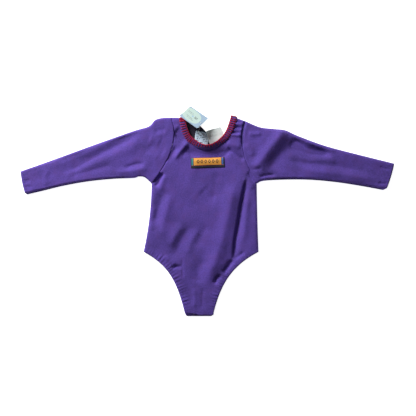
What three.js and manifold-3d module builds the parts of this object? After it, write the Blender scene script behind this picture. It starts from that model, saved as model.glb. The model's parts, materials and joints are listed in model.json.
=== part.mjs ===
// A child's long-sleeved leotard with a snap crotch, laid flat with its front up.
// Millimetres. +X is towards the wearer's left sleeve, +Y towards the neck, +Z up out of the
// front. The origin is on the underside of the back panel, at the middle of the waist.
// Every cloth layer is a thin closed solid. The front lies over the back with a hollow between.
import * as THREE from "three";
import { mergeVertices } from "three/addons/utils/BufferGeometryUtils.js";
import Module from "manifold-3d";

const wasm = await Module();
wasm.setup();

// ---------------------------------------------------------------- driving dimensions
const cloth = 1.0; // jersey, with the hairs that hold two layers apart
const layHeight = 9.0; // from the surface it lies on to the top of the front panel
const gap = 0.3; // between pieces that touch
const seamGap = 0.3; // between the front's and the back's half of a side wall

// The body, with its widths across the laid garment.
const chestWidth = 261;
const hipWidth = 285.5;
const tabWidth = 61; // the crotch tab at its hem
const shoulderWidth = 185; // from armhole seam to armhole seam
const neckWidth = 115.5; // inside the neck binding
const neckDepth = 69;
const backNeckDepth = 71;
const shoulderY = 245;
const underarmY = 81;
const hipY = -89;
const hemY = -250; // the fold of the back tab, which is the lowest point

// How it lies: each level's middle has slid a little sideways from the centre line.
const neckSlide = 12.75;
const shoulderSlide = 13;
const underarmSlide = 3;
const hipSlide = -4.75;
const tabSlide = -9.4;

// The sleeves. Lengths run along the underarm seam; lie is the angle below level.
const sleeves = {
  left: {
    side: 1,
    underarmSeam: 322,
    lie: 3,
    cuffWidth: 69.5,
    cuffTurn: 73,
    shoulderDrop: 9,
    top: [[0.1, -4.5], [0.2, 1.5], [0.266, 5.4], [0.36, 0.4], [0.55, -4.7], [0.8, -2.6]],
    under: [[0.05, 7.8], [0.2, 13.4], [0.4, 16.7], [0.6, 14.6], [0.8, 8.4]],
  },
  right: {
    side: -1,
    underarmSeam: 315,
    lie: 5,
    cuffWidth: 59,
    cuffTurn: 78.5,
    shoulderDrop: 0,
    top: [[0.05, 6.2], [0.1, 7.6], [0.15, -2], [0.26, 0], [0.55, 0.3], [0.8, -0.4]],
    under: [[0.05, 17], [0.1, 20.5], [0.14, 18], [0.3, 20.4], [0.5, 19.6], [0.7, 14], [0.86, 6.4]],
  },
};

// Trims and what is inside them.
const bandWidth = 14;
const turnRoom = 0.34 * bandWidth; // how far a panel keeps from the band where it turns at a shoulder
const bandThick = 3;
const bandProud = 1.2; // how far the binding stands above the front panel
const neckElasticWidth = 8;
const elasticThick = 0.8;
const legElasticWidth = 6;
const legElasticInset = 2;
const seamWidth = 3; // an overlocked seam allowance
const cuffHemWidth = 8;
const hemThick = 0.6;
const yarnThick = 0.9; // the whipped yarn that covers the neck binding
const yarnPitch = 6;
const seamThick = 0.9;
const facingDepth = 45;
const facingThick = 0.6;

// The crotch closure.
const placketDepth = 22;
const frontHemShort = 4.5; // the front tab ends this much above the back tab's fold
const snapPitch = 27;
const snapRadius = 4.8;
const snapFromHem = 6.3;
const postRadius = 2.0;
const postClearance = 0.8; // lets a socket swing off its stud
const facingClothThick = 0.8;

// The chest patch, labels and swing tag.
const patch = { width: 84, height: 26, border: 5, thick: 0.9, x: 11.6, y: shoulderY - 112, turn: 2 };
const careLabel = { thick: 0.5, width: 34, length: 40, x: -3.6, y: shoulderY - 55, turn: -7 };
const brandLabel = { thick: 0.9, width: 40, length: 46, x: 32.9, y: shoulderY - 50, turn: 18 };
const labelHole = { radius: 1.3, x: -12.5, y: shoulderY - 39.5 };
const tag = { long: 57, wide: 43.5, thick: 0.6, hole: 1.5, holeInset: 5.5, holeShift: -2, tilt: 32, aim: -40.5 };
const tagCentre = { x: -22.5, y: shoulderY - 1.2, z: 20.5 };
const filament = 0.5; // radius of the fastener's thread
const barLength = 9;

// ---------------------------------------------------------------- small helpers
const V = (x, y) => new THREE.Vector2(x, y);
const backInner = cloth;
const frontInner = layHeight - cloth;
const middle = layHeight / 2;

function fromMesh(geometry) {
  geometry.deleteAttribute("normal");
  geometry.deleteAttribute("uv");
  const merged = mergeVertices(geometry, 1e-4);
  return new wasm.Manifold(
    new wasm.Mesh({
      numProp: 3,
      vertProperties: merged.attributes.position.array,
      triVerts: new Uint32Array(merged.index.array),
    }),
  );
}

function toGeometry(solid) {
  const mesh = solid.getMesh();
  const positions = new Float32Array(mesh.numVert * 3);
  for (let i = 0; i < mesh.numVert; i++) {
    positions.set(mesh.vertProperties.subarray(i * mesh.numProp, i * mesh.numProp + 3), i * 3);
  }
  const geometry = new THREE.BufferGeometry();
  geometry.setAttribute("position", new THREE.BufferAttribute(positions, 3));
  geometry.setIndex(new THREE.BufferAttribute(new Uint32Array(mesh.triVerts), 1));
  return geometry;
}

// A plan outline raised from low to high.
function slab(points, low, high) {
  const shape = new THREE.Shape(points);
  const geometry = new THREE.ExtrudeGeometry(shape, { depth: high - low, bevelEnabled: false });
  geometry.translate(0, 0, low);
  return fromMesh(geometry);
}

function block(x0, x1, y0, y1, low, high) {
  return slab([V(x0, y0), V(x1, y0), V(x1, y1), V(x0, y1)], low, high);
}

// The points of a line moved sideways, to the left of its direction of travel.
function aside(points, distance) {
  return points.map((p, i) => {
    const before = points[Math.max(0, i - 1)];
    const after = points[Math.min(points.length - 1, i + 1)];
    const along = after.clone().sub(before).normalize();
    return V(p.x - along.y * distance, p.y + along.x * distance);
  });
}

// The plan outline of a strip between two lines at given distances to the left of a curve.
function strip(points, near, far) {
  return [...aside(points, near), ...aside(points, far).reverse()];
}

// The same line carried on past both its ends.
function extended(points, distance) {
  const first = points[0];
  const last = points[points.length - 1];
  const before = first.clone().sub(points[1]).setLength(distance).add(first);
  const after = last.clone().sub(points[points.length - 2]).setLength(distance).add(last);
  return [before, ...points, after];
}

function spline(points, count) {
  return new THREE.SplineCurve(points).getSpacedPoints(count);
}

// Leaves out a length from each end of a line of points.
function trimmed(points, fromStart, fromEnd) {
  const curve = new THREE.SplineCurve(points);
  const length = curve.getLength();
  const first = fromStart / length;
  const last = 1 - fromEnd / length;
  const count = Math.max(4, Math.round(points.length * (last - first)));
  return Array.from({ length: count + 1 }, (_, i) => curve.getPointAt(first + ((last - first) * i) / count));
}

// ---------------------------------------------------------------- landmarks and seam lines
function sideLandmarks(side, drop) {
  return {
    neck: V(neckSlide + (side * neckWidth) / 2, shoulderY + 1),
    shoulder: V(shoulderSlide + (side * shoulderWidth) / 2, shoulderY - drop),
    underarm: V(underarmSlide + (side * chestWidth) / 2, underarmY),
    hip: V(hipSlide + (side * hipWidth) / 2, hipY),
    tab: V(tabSlide + (side * tabWidth) / 2, hemY),
  };
}

// Each seam line of one side of the body, from top to bottom.
function sideLines(side, drop) {
  const at = sideLandmarks(side, drop);
  const armhole = new THREE.CubicBezierCurve(
    at.shoulder,
    V(at.shoulder.x - side * 19, at.shoulder.y - 48),
    V(at.shoulder.x - side * 4, at.shoulder.y - 100),
    at.underarm,
  ).getPoints(18);
  const seam = new THREE.QuadraticBezierCurve(
    at.underarm,
    V(at.underarm.x + side * 1, (underarmY + hipY) / 2),
    at.hip,
  ).getPoints(10);
  const leg = new THREE.CubicBezierCurve(
    at.hip,
    V(at.hip.x - side * 62, at.hip.y - 33),
    V(at.tab.x + side * 24, at.tab.y + 88),
    V(at.tab.x + side * 4, at.tab.y + 4),
  ).getPoints(26);
  return { at, armhole, seam, leg };
}

const lines = {
  left: sideLines(1, sleeves.left.shoulderDrop),
  right: sideLines(-1, sleeves.right.shoulderDrop),
};
const neckLeft = lines.left.at.neck;
const neckRight = lines.right.at.neck;

// The inner edge of the neck binding, from the wearer's right shoulder to the left one.
const frontNeck = spline(
  [
    neckRight,
    V(neckRight.x + 4, shoulderY - 0.35 * neckDepth),
    V(neckRight.x + 17, shoulderY - 0.72 * neckDepth),
    V(neckSlide - 7, shoulderY + 1 - neckDepth),
    V(neckLeft.x - 34, shoulderY - 0.84 * neckDepth),
    V(neckLeft.x - 13, shoulderY - 0.5 * neckDepth),
    neckLeft,
  ],
  34,
);
const backNeck = spline(
  [
    neckRight,
    V(neckRight.x + 25, shoulderY - 0.12 * backNeckDepth),
    V(neckRight.x + 41, shoulderY - 0.32 * backNeckDepth),
    V(neckSlide + 9, shoulderY - 0.7 * backNeckDepth),
    V(neckSlide + 30, shoulderY + 1 - backNeckDepth),
    V(neckLeft.x - 8, shoulderY - 0.77 * backNeckDepth),
    neckLeft,
  ],
  34,
);

// ---------------------------------------------------------------- body panels
// The cut line of a panel, round from the neck: down the wearer's left side, along the tab's
// end and up the right side.
function bodyOutline(neck) {
  const { left, right } = lines;
  return [
    ...neck,
    ...left.armhole,
    ...left.seam.slice(1),
    ...left.leg.slice(1),
    V(left.at.tab.x, hemY),
    V(right.at.tab.x, hemY),
    ...[...right.leg].reverse(),
    ...[...right.seam].reverse().slice(1),
    ...[...right.armhole].reverse().slice(1),
  ];
}

// The short piece of a strip at one end of a line, where the strip turns over the shoulder.
function shoulderTurn(points, atEnd, near, far, length, low = -1, high = layHeight + 1) {
  const [first, second] = atEnd ? [...points].reverse() : points;
  const inward = first.clone().add(second.clone().sub(first).setLength(length));
  return slab(strip(atEnd ? [inward, first] : [first, inward], near, far), low, high);
}

// The walls where a panel turns over at the shoulders and down the side seams.
function turnedEdges(low, high) {
  return ["left", "right"].flatMap((name) => {
    const { at, seam } = lines[name];
    const inward = -sleeves[name].side * cloth;
    return [
      slab(strip(seam, 0, inward), low, high),
      slab(strip([at.neck, at.shoulder], 0, inward), low, high),
    ];
  });
}

// A panel stops short of the neck binding that covers its edge, and of the placket at the tab.
function panel(neck, low, high, tabEnd, wallLow, wallHigh) {
  const outline = bodyOutline(neck);
  const walls = turnedEdges(wallLow, wallHigh).reduce((made, wall) => made.add(wall));
  return slab(outline, low, high)
    .add(walls.intersect(slab(outline, wallLow, wallHigh)))
    .subtract(slab(strip(extended(neck, 12), -(bandWidth + gap), 3), -1, layHeight + 1))
    .subtract(shoulderTurn(extended(frontNeck, 2), false, -(bandWidth + gap), 3, turnRoom))
    .subtract(shoulderTurn(extended(frontNeck, 2), true, -(bandWidth + gap), 3, turnRoom))
    .subtract(block(-hipWidth, hipWidth, hemY - 50, tabEnd, -1, layHeight + 1));
}

function frontPanel() {
  const tabEnd = hemY + frontHemShort + placketDepth + gap;
  return panel(frontNeck, frontInner, layHeight, tabEnd, middle + seamGap / 2, layHeight);
}

function backPanel() {
  const tabEnd = hemY + placketDepth + gap;
  return panel(backNeck, 0, backInner, tabEnd, 0, middle - seamGap / 2);
}

// A dark half-moon that covers the inside of the back below the neck binding.
function backNeckFacing() {
  const upper = trimmed(aside(backNeck, -(bandWidth + 2 * gap)), 4, 8);
  const first = upper[0];
  const last = upper[upper.length - 1];
  const deepest = shoulderY - backNeckDepth - bandWidth - facingDepth;
  const dip = new THREE.CubicBezierCurve(
    V(last.x + 4, last.y),
    V(last.x, (4 * deepest - last.y) / 3),
    V(first.x, (4 * deepest - first.y) / 3),
    V(first.x - 8, first.y),
  ).getPoints(16);
  return slab([...upper, ...dip], backInner + gap, backInner + gap + facingThick);
}

// ---------------------------------------------------------------- sleeves
function sleeveLines(name) {
  const s = sleeves[name];
  const { at } = lines[name];
  const lie = THREE.MathUtils.degToRad(s.lie);
  const turn = THREE.MathUtils.degToRad(s.cuffTurn);
  const cuffLow = V(
    at.underarm.x + s.side * s.underarmSeam * Math.cos(lie),
    at.underarm.y - s.underarmSeam * Math.sin(lie),
  );
  const cuffHigh = V(
    cuffLow.x + s.side * s.cuffWidth * Math.cos(turn),
    cuffLow.y + s.cuffWidth * Math.sin(turn),
  );
  const bowed = (from, to, bow, count) => {
    const along = to.clone().sub(from);
    const up = V(-along.y, along.x).normalize().multiplyScalar(s.side);
    const inner = bow.map(([t, h]) => from.clone().addScaledVector(along, t).addScaledVector(up, h));
    return spline([from, ...inner, to], count);
  };
  return {
    top: bowed(at.shoulder, cuffHigh, s.top, 26),
    under: bowed(at.underarm, cuffLow, s.under, 24),
    cuffLow,
    cuffHigh,
  };
}

function sleeve(name) {
  const side = sleeves[name].side;
  const { armhole, at } = lines[name];
  const { top, under } = sleeveLines(name);
  const outset = side > 0 ? gap : -gap; // the armhole runs down, so its left is +X
  const head = aside(armhole, outset);
  const outer = [...head, ...under.slice(1), ...[...top].reverse().slice(0, -1)];
  const beyond = 45;
  const wall = side * cloth;
  const inner = [
    V(at.shoulder.x - side * beyond, at.shoulder.y - 2 * cloth),
    V(at.underarm.x - side * beyond, at.underarm.y + 3 * cloth),
    ...aside(trimmed(under, 2.5, 0), wall),
    ...aside([...under.slice(-2)], wall).slice(-1).map((p) => V(p.x + side * 20, p.y)),
    ...aside([...top.slice(-2)], -wall).slice(-1).map((p) => V(p.x + side * 20, p.y)),
    ...aside(trimmed(top, 2.5, 0), -wall).reverse(),
  ];
  return slab(outer, 0, layHeight).subtract(slab(inner, backInner, frontInner));
}

// ---------------------------------------------------------------- strips that go all round
// A strip along the front, the same along the back, and a short upright join at each end.
function loopStrip(front, back, near, far, frontLevel, backLevel, thick, ends) {
  const upper = slab(strip(front, near, far), frontLevel, frontLevel + thick);
  const lower = slab(strip(back, near, far), backLevel, backLevel + thick);
  const inset = Math.sign(far - near) * 0.05; // so that no two faces lie in one plane
  const turns = ends.map((end) =>
    shoulderTurn(
      front, end === "end", near + inset, far - inset, thick, backLevel + 0.05, frontLevel + thick - 0.05,
    ),
  );
  return turns.reduce((made, turn) => made.add(turn), upper.add(lower));
}

const bandFrontLevel = layHeight + bandProud - bandThick;
const bandWall = (bandThick - elasticThick) / 2;

function neckBinding() {
  const outer = loopStrip(
    frontNeck, backNeck, -bandWidth, 0, bandFrontLevel, 0, bandThick, ["start", "end"],
  );
  const edge = (bandWidth - neckElasticWidth) / 2 - gap;
  const tunnel = elasticThick + 2 * gap;
  const level = bandWall - gap;
  const inner = loopStrip(
    trimmed(frontNeck, level, level), trimmed(backNeck, level, level), -bandWidth + edge, -edge,
    bandFrontLevel + level, level, tunnel, ["start", "end"],
  );
  // The band's own ends are sewn together at the wearer's left shoulder.
  const join = block(neckLeft.x - 20, neckLeft.x + 40, neckLeft.y - 8, neckLeft.y + 9, middle, middle + 0.4);
  return outer.subtract(inner).subtract(join);
}

function neckElastic() {
  const edge = (bandWidth - neckElasticWidth) / 2;
  return loopStrip(
    trimmed(frontNeck, bandWall, bandWall), trimmed(backNeck, bandWall, bandWall), -bandWidth + edge,
    -edge, bandFrontLevel + bandWall, bandWall, elasticThick, ["start", "end"],
  );
}

// A rim of yarn inside the binding's edge, with a bar at each stitch that lies over the band.
function neckYarn() {
  const top = layHeight + bandProud + gap;
  const bars = (points, low, high) => {
    const curve = new THREE.SplineCurve(points);
    const count = Math.round(curve.getLength() / yarnPitch);
    return Array.from({ length: count - 1 }, (_, i) => {
      const t = (i + 1) / count;
      const at = curve.getPointAt(t);
      const half = curve.getTangentAt(t).multiplyScalar(yarnPitch / 5);
      const pair = [at.clone().sub(half), at.clone().add(half)];
      return slab(strip(pair, -bandWidth + 1, gap + 0.5 * yarnThick), low, high);
    });
  };
  const rim = (points, low, high) => slab(strip(points, gap, gap + 2 * yarnThick), low, high);
  const parts = [
    rim(frontNeck, bandFrontLevel, top + yarnThick),
    rim(backNeck, gap, bandThick + gap + yarnThick),
    ...bars(frontNeck, top, top + yarnThick),
    ...bars(backNeck, bandThick + gap, bandThick + gap + yarnThick),
    ...[neckRight.x + gap, neckLeft.x - gap - 2 * yarnThick].map((x) =>
      block(x, x + 2 * yarnThick, neckLeft.y - 6, neckLeft.y + 2.2, bandThick + gap, top + yarnThick),
    ),
  ];
  const bandAt = (points) => strip(points, -(bandWidth + gap), gap);
  const turns = [false, true].map((atEnd) =>
    shoulderTurn(frontNeck, atEnd, -(bandWidth + gap), gap, bandThick + gap, -1, top),
  );
  return parts
    .reduce((made, part) => made.add(part))
    .subtract(slab(bandAt(backNeck), -1, bandThick + gap))
    .subtract(slab(bandAt(frontNeck), bandFrontLevel - gap, top))
    .subtract(turns[0].add(turns[1]));
}

function legElastic(name) {
  const side = sleeves[name].side;
  const whole = lines[name].leg;
  const ends = [7, placketDepth + frontHemShort + 2];
  const line = trimmed(whole, ends[0], ends[1]);
  const near = side > 0 ? -legElasticInset - legElasticWidth : legElasticInset;
  const far = side > 0 ? -legElasticInset : legElasticInset + legElasticWidth;
  return loopStrip(
    line, line, near, far, frontInner - gap - elasticThick, backInner + gap, elasticThick, ["start"],
  );
}

function armholeSeam(name) {
  const line = trimmed(lines[name].armhole, 5, 8);
  const near = sleeves[name].side * 2 * gap;
  const far = sleeves[name].side * (2 * gap + seamWidth);
  return loopStrip(
    line, line, near, far, frontInner - gap - seamThick, backInner + gap, seamThick,
    ["start", "end"],
  );
}

// The cuff's edge turned inside, as a flattened ring.
function cuffHem(name) {
  const { cuffLow, cuffHigh } = sleeveLines(name);
  const inset = cloth + gap + 1;
  const line = trimmed([cuffLow, cuffHigh], inset, inset);
  const inward = sleeves[name].side;
  return loopStrip(
    line, line, inward, inward * cuffHemWidth, frontInner - gap - hemThick, backInner + gap, hemThick,
    ["start", "end"],
  );
}

// ---------------------------------------------------------------- seams along a wall
function wallSeam(line, side) {
  const near = side > 0 ? -(cloth + gap + seamWidth) : cloth + gap;
  const far = side > 0 ? -(cloth + gap) : cloth + gap + seamWidth;
  return slab(strip(line, near, far), middle - seamThick / 2, middle + seamThick / 2);
}

function sideSeam(name) {
  return wallSeam(trimmed(lines[name].seam, 8, 14), sleeves[name].side);
}

function shoulderSeam(name) {
  const { at } = lines[name];
  const side = sleeves[name].side;
  return wallSeam(trimmed([at.neck, at.shoulder], bandWidth + 4, 8), side);
}

function underarmSeam(name) {
  const side = sleeves[name].side;
  return wallSeam(trimmed(sleeveLines(name).under, 42, 12), -side);
}

// ---------------------------------------------------------------- crotch plackets and snaps
function bodySlice(y0, y1, low, high) {
  return slab(bodyOutline(frontNeck), low, high).intersect(
    block(-hipWidth, hipWidth, y0, y1, low - 1, high + 1),
  );
}

const frontHem = hemY + frontHemShort;
const level = (() => {
  const back = backInner + gap; // upwards through the closed tab
  const studRing = back;
  const backTurn = studRing + 0.6 + gap;
  const stud = backTurn + facingClothThick + gap;
  const socket = stud + 0.6 + gap;
  const frontFacing = frontInner - gap - 0.6 - gap - facingClothThick;
  const socketRing = frontInner - gap - 0.6;
  return { studRing, backTurn, stud, socket, frontFacing, socketRing };
})();

function frontPlacket() {
  const top = frontHem + placketDepth;
  return bodySlice(frontHem, top, frontInner, layHeight)
    .add(bodySlice(frontHem, top, level.frontFacing, level.frontFacing + facingClothThick))
    .add(bodySlice(frontHem, frontHem + cloth, level.frontFacing, layHeight));
}

function backPlacket() {
  const top = hemY + placketDepth;
  return bodySlice(hemY, top, 0, backInner)
    .add(bodySlice(hemY, top, level.backTurn, level.backTurn + facingClothThick))
    .add(bodySlice(hemY, hemY + cloth, 0, level.backTurn + facingClothThick));
}

function snapPlaces() {
  const x = tabSlide;
  const y = frontHem + snapFromHem;
  return [
    { name: "right", x: x - snapPitch / 2, y },
    { name: "left", x: x + snapPitch / 2, y },
  ];
}

function turned(profile) {
  const geometry = new THREE.LatheGeometry(profile, 24);
  geometry.rotateX(Math.PI / 2);
  return geometry;
}

function studGeometry() {
  const tall = level.frontFacing - gap - 0.5 - level.stud;
  return turned([
    V(0, 0), V(snapRadius, 0), V(snapRadius, 0.4), V(snapRadius - 0.3, 0.6), V(postRadius - 0.3, 0.6),
    V(postRadius - 0.3, tall - 1.0), V(postRadius, tall - 0.6), V(postRadius - 0.4, tall), V(0, tall),
  ]);
}

function socketGeometry() {
  const tall = level.frontFacing - gap - level.socket;
  const bore = postRadius + postClearance;
  return turned([
    V(bore, 0), V(snapRadius - 0.5, 0), V(snapRadius + 0.2, tall * 0.5), V(snapRadius + 0.2, tall),
    V(bore, tall), V(bore, 0),
  ]);
}

function ringGeometry() {
  const inner = 2.6;
  return turned([
    V(inner, 0), V(snapRadius - 0.4, 0), V(snapRadius, 0.25), V(snapRadius - 0.4, 0.6), V(inner, 0.6),
    V(inner, 0),
  ]);
}

// ---------------------------------------------------------------- patch, labels and tag
function roundedRectangle(width, height, radius) {
  const shape = new THREE.Shape();
  const x = width / 2;
  const y = height / 2;
  shape.moveTo(-x + radius, -y);
  shape.lineTo(x - radius, -y).absarc(x - radius, -y + radius, radius, -Math.PI / 2, 0);
  shape.lineTo(x, y - radius).absarc(x - radius, y - radius, radius, 0, Math.PI / 2);
  shape.lineTo(-x + radius, y).absarc(-x + radius, y - radius, radius, Math.PI / 2, Math.PI);
  shape.lineTo(-x, -y + radius).absarc(-x + radius, -y + radius, radius, Math.PI, 1.5 * Math.PI);
  return shape;
}

function plateGeometry(shape, thick) {
  return new THREE.ExtrudeGeometry(shape, { depth: thick, bevelEnabled: false, curveSegments: 6 });
}

function patchField() {
  const inset = 2 * (patch.border + gap);
  return plateGeometry(roundedRectangle(patch.width - inset, patch.height - inset * 0.7, 1), patch.thick);
}

function patchBorder() {
  const shape = roundedRectangle(patch.width, patch.height, 2);
  const inset = 2 * patch.border;
  shape.holes.push(roundedRectangle(patch.width - inset, patch.height - inset * 0.7 + gap, 1));
  return plateGeometry(shape, patch.thick + 0.3);
}

function tagCard() {
  const shape = roundedRectangle(tag.long, tag.wide, 2);
  const hole = new THREE.Path();
  hole.absarc(tag.long / 2 - tag.holeInset, tag.holeShift, tag.hole, 0, 2 * Math.PI, true);
  shape.holes.push(hole);
  return plateGeometry(shape, tag.thick);
}

// ---------------------------------------------------------------- the assembly
const leotard = new THREE.Group();
leotard.name = "leotard";

const finishes = {
  jersey: { color: 0x57449a, roughness: 0.9, metalness: 0 },
  band: { color: 0x4d3c8e, roughness: 0.9, metalness: 0 },
  yarn: { color: 0xb01c4e, roughness: 0.85, metalness: 0 },
  elastic: { color: 0xe8e6df, roughness: 0.8, metalness: 0 },
  facing: { color: 0x1a1416, roughness: 0.95, metalness: 0 },
  thread: { color: 0x4c3b8a, roughness: 0.8, metalness: 0 },
  nickel: { color: 0xb9b29c, roughness: 0.3, metalness: 1 },
  patchField: { color: 0xf0a03c, roughness: 0.8, metalness: 0 },
  patchBorder: { color: 0x1c2236, roughness: 0.8, metalness: 0 },
  careLabel: { color: 0xb9d3ea, roughness: 0.6, metalness: 0 },
  brandLabel: { color: 0xd0e2de, roughness: 0.6, metalness: 0 },
  card: { color: 0xb4cfe2, roughness: 0.5, metalness: 0 },
  clearPlastic: { color: 0xe6e8e6, roughness: 0.3, metalness: 0 },
};
const materials = Object.fromEntries(
  Object.entries(finishes).map(([name, look]) => [name, new THREE.MeshStandardMaterial(look)]),
);

function place(name, shape, finish, parent = leotard) {
  const geometry = shape.isBufferGeometry ? shape : toGeometry(shape);
  const mesh = new THREE.Mesh(geometry, materials[finish]);
  mesh.name = name;
  parent.add(mesh);
  return mesh;
}

place("front_panel", frontPanel(), "jersey");
place("back_panel", backPanel(), "jersey");
place("neck_binding", neckBinding(), "band");
place("neck_elastic", neckElastic(), "elastic");
place("neck_stitch_yarn", neckYarn(), "yarn");
place("back_neck_facing", backNeckFacing(), "facing");

for (const name of ["left", "right"]) {
  place(`${name}_sleeve`, sleeve(name), "jersey");
  place(`${name}_leg_elastic`, legElastic(name), "elastic");
  place(`${name}_side_seam_thread`, sideSeam(name), "thread");
  place(`${name}_shoulder_seam_thread`, shoulderSeam(name), "thread");
  place(`${name}_armhole_seam_thread`, armholeSeam(name), "thread");
  place(`${name}_underarm_seam_thread`, underarmSeam(name), "thread");
  place(`${name}_cuff_hem`, cuffHem(name), "jersey");
}

place("front_crotch_placket", frontPlacket(), "jersey");
place("back_crotch_placket", backPlacket(), "jersey");
for (const { name, x, y } of snapPlaces()) {
  place(`${name}_snap_stud`, studGeometry(), "nickel").position.set(x, y, level.stud);
  place(`${name}_snap_stud_ring`, ringGeometry(), "nickel").position.set(x, y, level.studRing);
  place(`${name}_snap_socket`, socketGeometry(), "nickel").position.set(x, y, level.socket);
  place(`${name}_snap_socket_ring`, ringGeometry(), "nickel").position.set(x, y, level.socketRing);
}

const patchGroup = new THREE.Group();
patchGroup.position.set(patch.x, patch.y, layHeight + gap);
patchGroup.rotation.z = THREE.MathUtils.degToRad(patch.turn);
leotard.add(patchGroup);
place("chest_patch", patchField(), "patchField", patchGroup);
place("patch_border", patchBorder(), "patchBorder", patchGroup);

// Both labels are sewn into the back neck seam and lie turned up, across the neck hole. The
// fastener's lower bar goes between the binding and the care label.
const barLevel = bandThick + gap + filament;
const labelLevel = barLevel + filament + gap;
const flatLabels = [
  { name: "care", finish: "careLabel", size: careLabel, z: labelLevel },
  { name: "brand", finish: "brandLabel", size: brandLabel, z: labelLevel + careLabel.thick + gap },
];
for (const { name, finish, size, z } of flatLabels) {
  const flat = plateGeometry(roundedRectangle(size.width, size.length, 1.5), size.thick);
  flat.rotateZ(THREE.MathUtils.degToRad(size.turn));
  flat.translate(size.x, size.y, z);
  const hole = new THREE.CylinderGeometry(labelHole.radius, labelHole.radius, 4, 16);
  hole.rotateX(Math.PI / 2);
  hole.translate(labelHole.x, labelHole.y, z);
  place(`${name}_label`, name === "care" ? fromMesh(flat).subtract(fromMesh(hole)) : flat, finish);
}

// The swing tag hangs by its hole from the fastener and leans back over the right shoulder.
// It is tilted about one of its diagonals, so that the corner nearest the chest stands up.
const tagGroup = new THREE.Group();
tagGroup.position.set(tagCentre.x, tagCentre.y, tagCentre.z);
const diagonal = THREE.MathUtils.degToRad(-12);
const tiltAxis = new THREE.Vector3(Math.cos(diagonal), Math.sin(diagonal), 0);
const upright = new THREE.Vector3(0, 0, 1);
tagGroup.quaternion
  .setFromAxisAngle(tiltAxis, THREE.MathUtils.degToRad(-tag.tilt))
  .multiply(new THREE.Quaternion().setFromAxisAngle(upright, THREE.MathUtils.degToRad(tag.aim)));
leotard.add(tagGroup);
place("hang_tag", tagCard(), "card", tagGroup);
tagGroup.updateMatrixWorld(true);

// The fastener: a bar on top of the card, a thread through both holes and a bar at the label.
const holeAt = new THREE.Vector3(tag.long / 2 - tag.holeInset, tag.holeShift, 0);
const fromHole = (x, y, z) => tagGroup.localToWorld(holeAt.clone().add(new THREE.Vector3(x, y, z)));
const anchor = new THREE.Vector3(labelHole.x, labelHole.y, barLevel);
const threadPath = new THREE.CatmullRomCurve3([
  fromHole(0, 0, tag.thick + gap + filament),
  fromHole(0, 0, -3),
  fromHole(1, -2, -12),
  anchor.clone().add(new THREE.Vector3(0.5, 1.5, 8)),
  anchor.clone().add(new THREE.Vector3(0, 0, 2.5)),
  anchor,
]);
const threadSection = new THREE.Shape().absarc(0, 0, filament, 0, 2 * Math.PI);
function tube(path, steps) {
  const options = { steps, extrudePath: path, curveSegments: 8, bevelEnabled: false };
  return fromMesh(new THREE.ExtrudeGeometry(threadSection, options));
}
const headEnds = [-barLength / 2, barLength / 2].map((x) => fromHole(x, 0, tag.thick + gap + filament));
const footReach = new THREE.Vector3(0.68, -0.73, 0).multiplyScalar(barLength / 2);
const footEnds = [anchor.clone().sub(footReach), anchor.clone().add(footReach)];
const fastener = [headEnds, footEnds]
  .map((ends) => tube(new THREE.LineCurve3(...ends), 2))
  .reduce((made, bar) => made.add(bar), tube(threadPath, 36));
place("tag_fastener", fastener, "clearPlastic");

export default leotard;
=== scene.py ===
"""Looks for a child's violet leotard that lies flat, front up, with its sleeves spread."""

import json
import math

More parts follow.
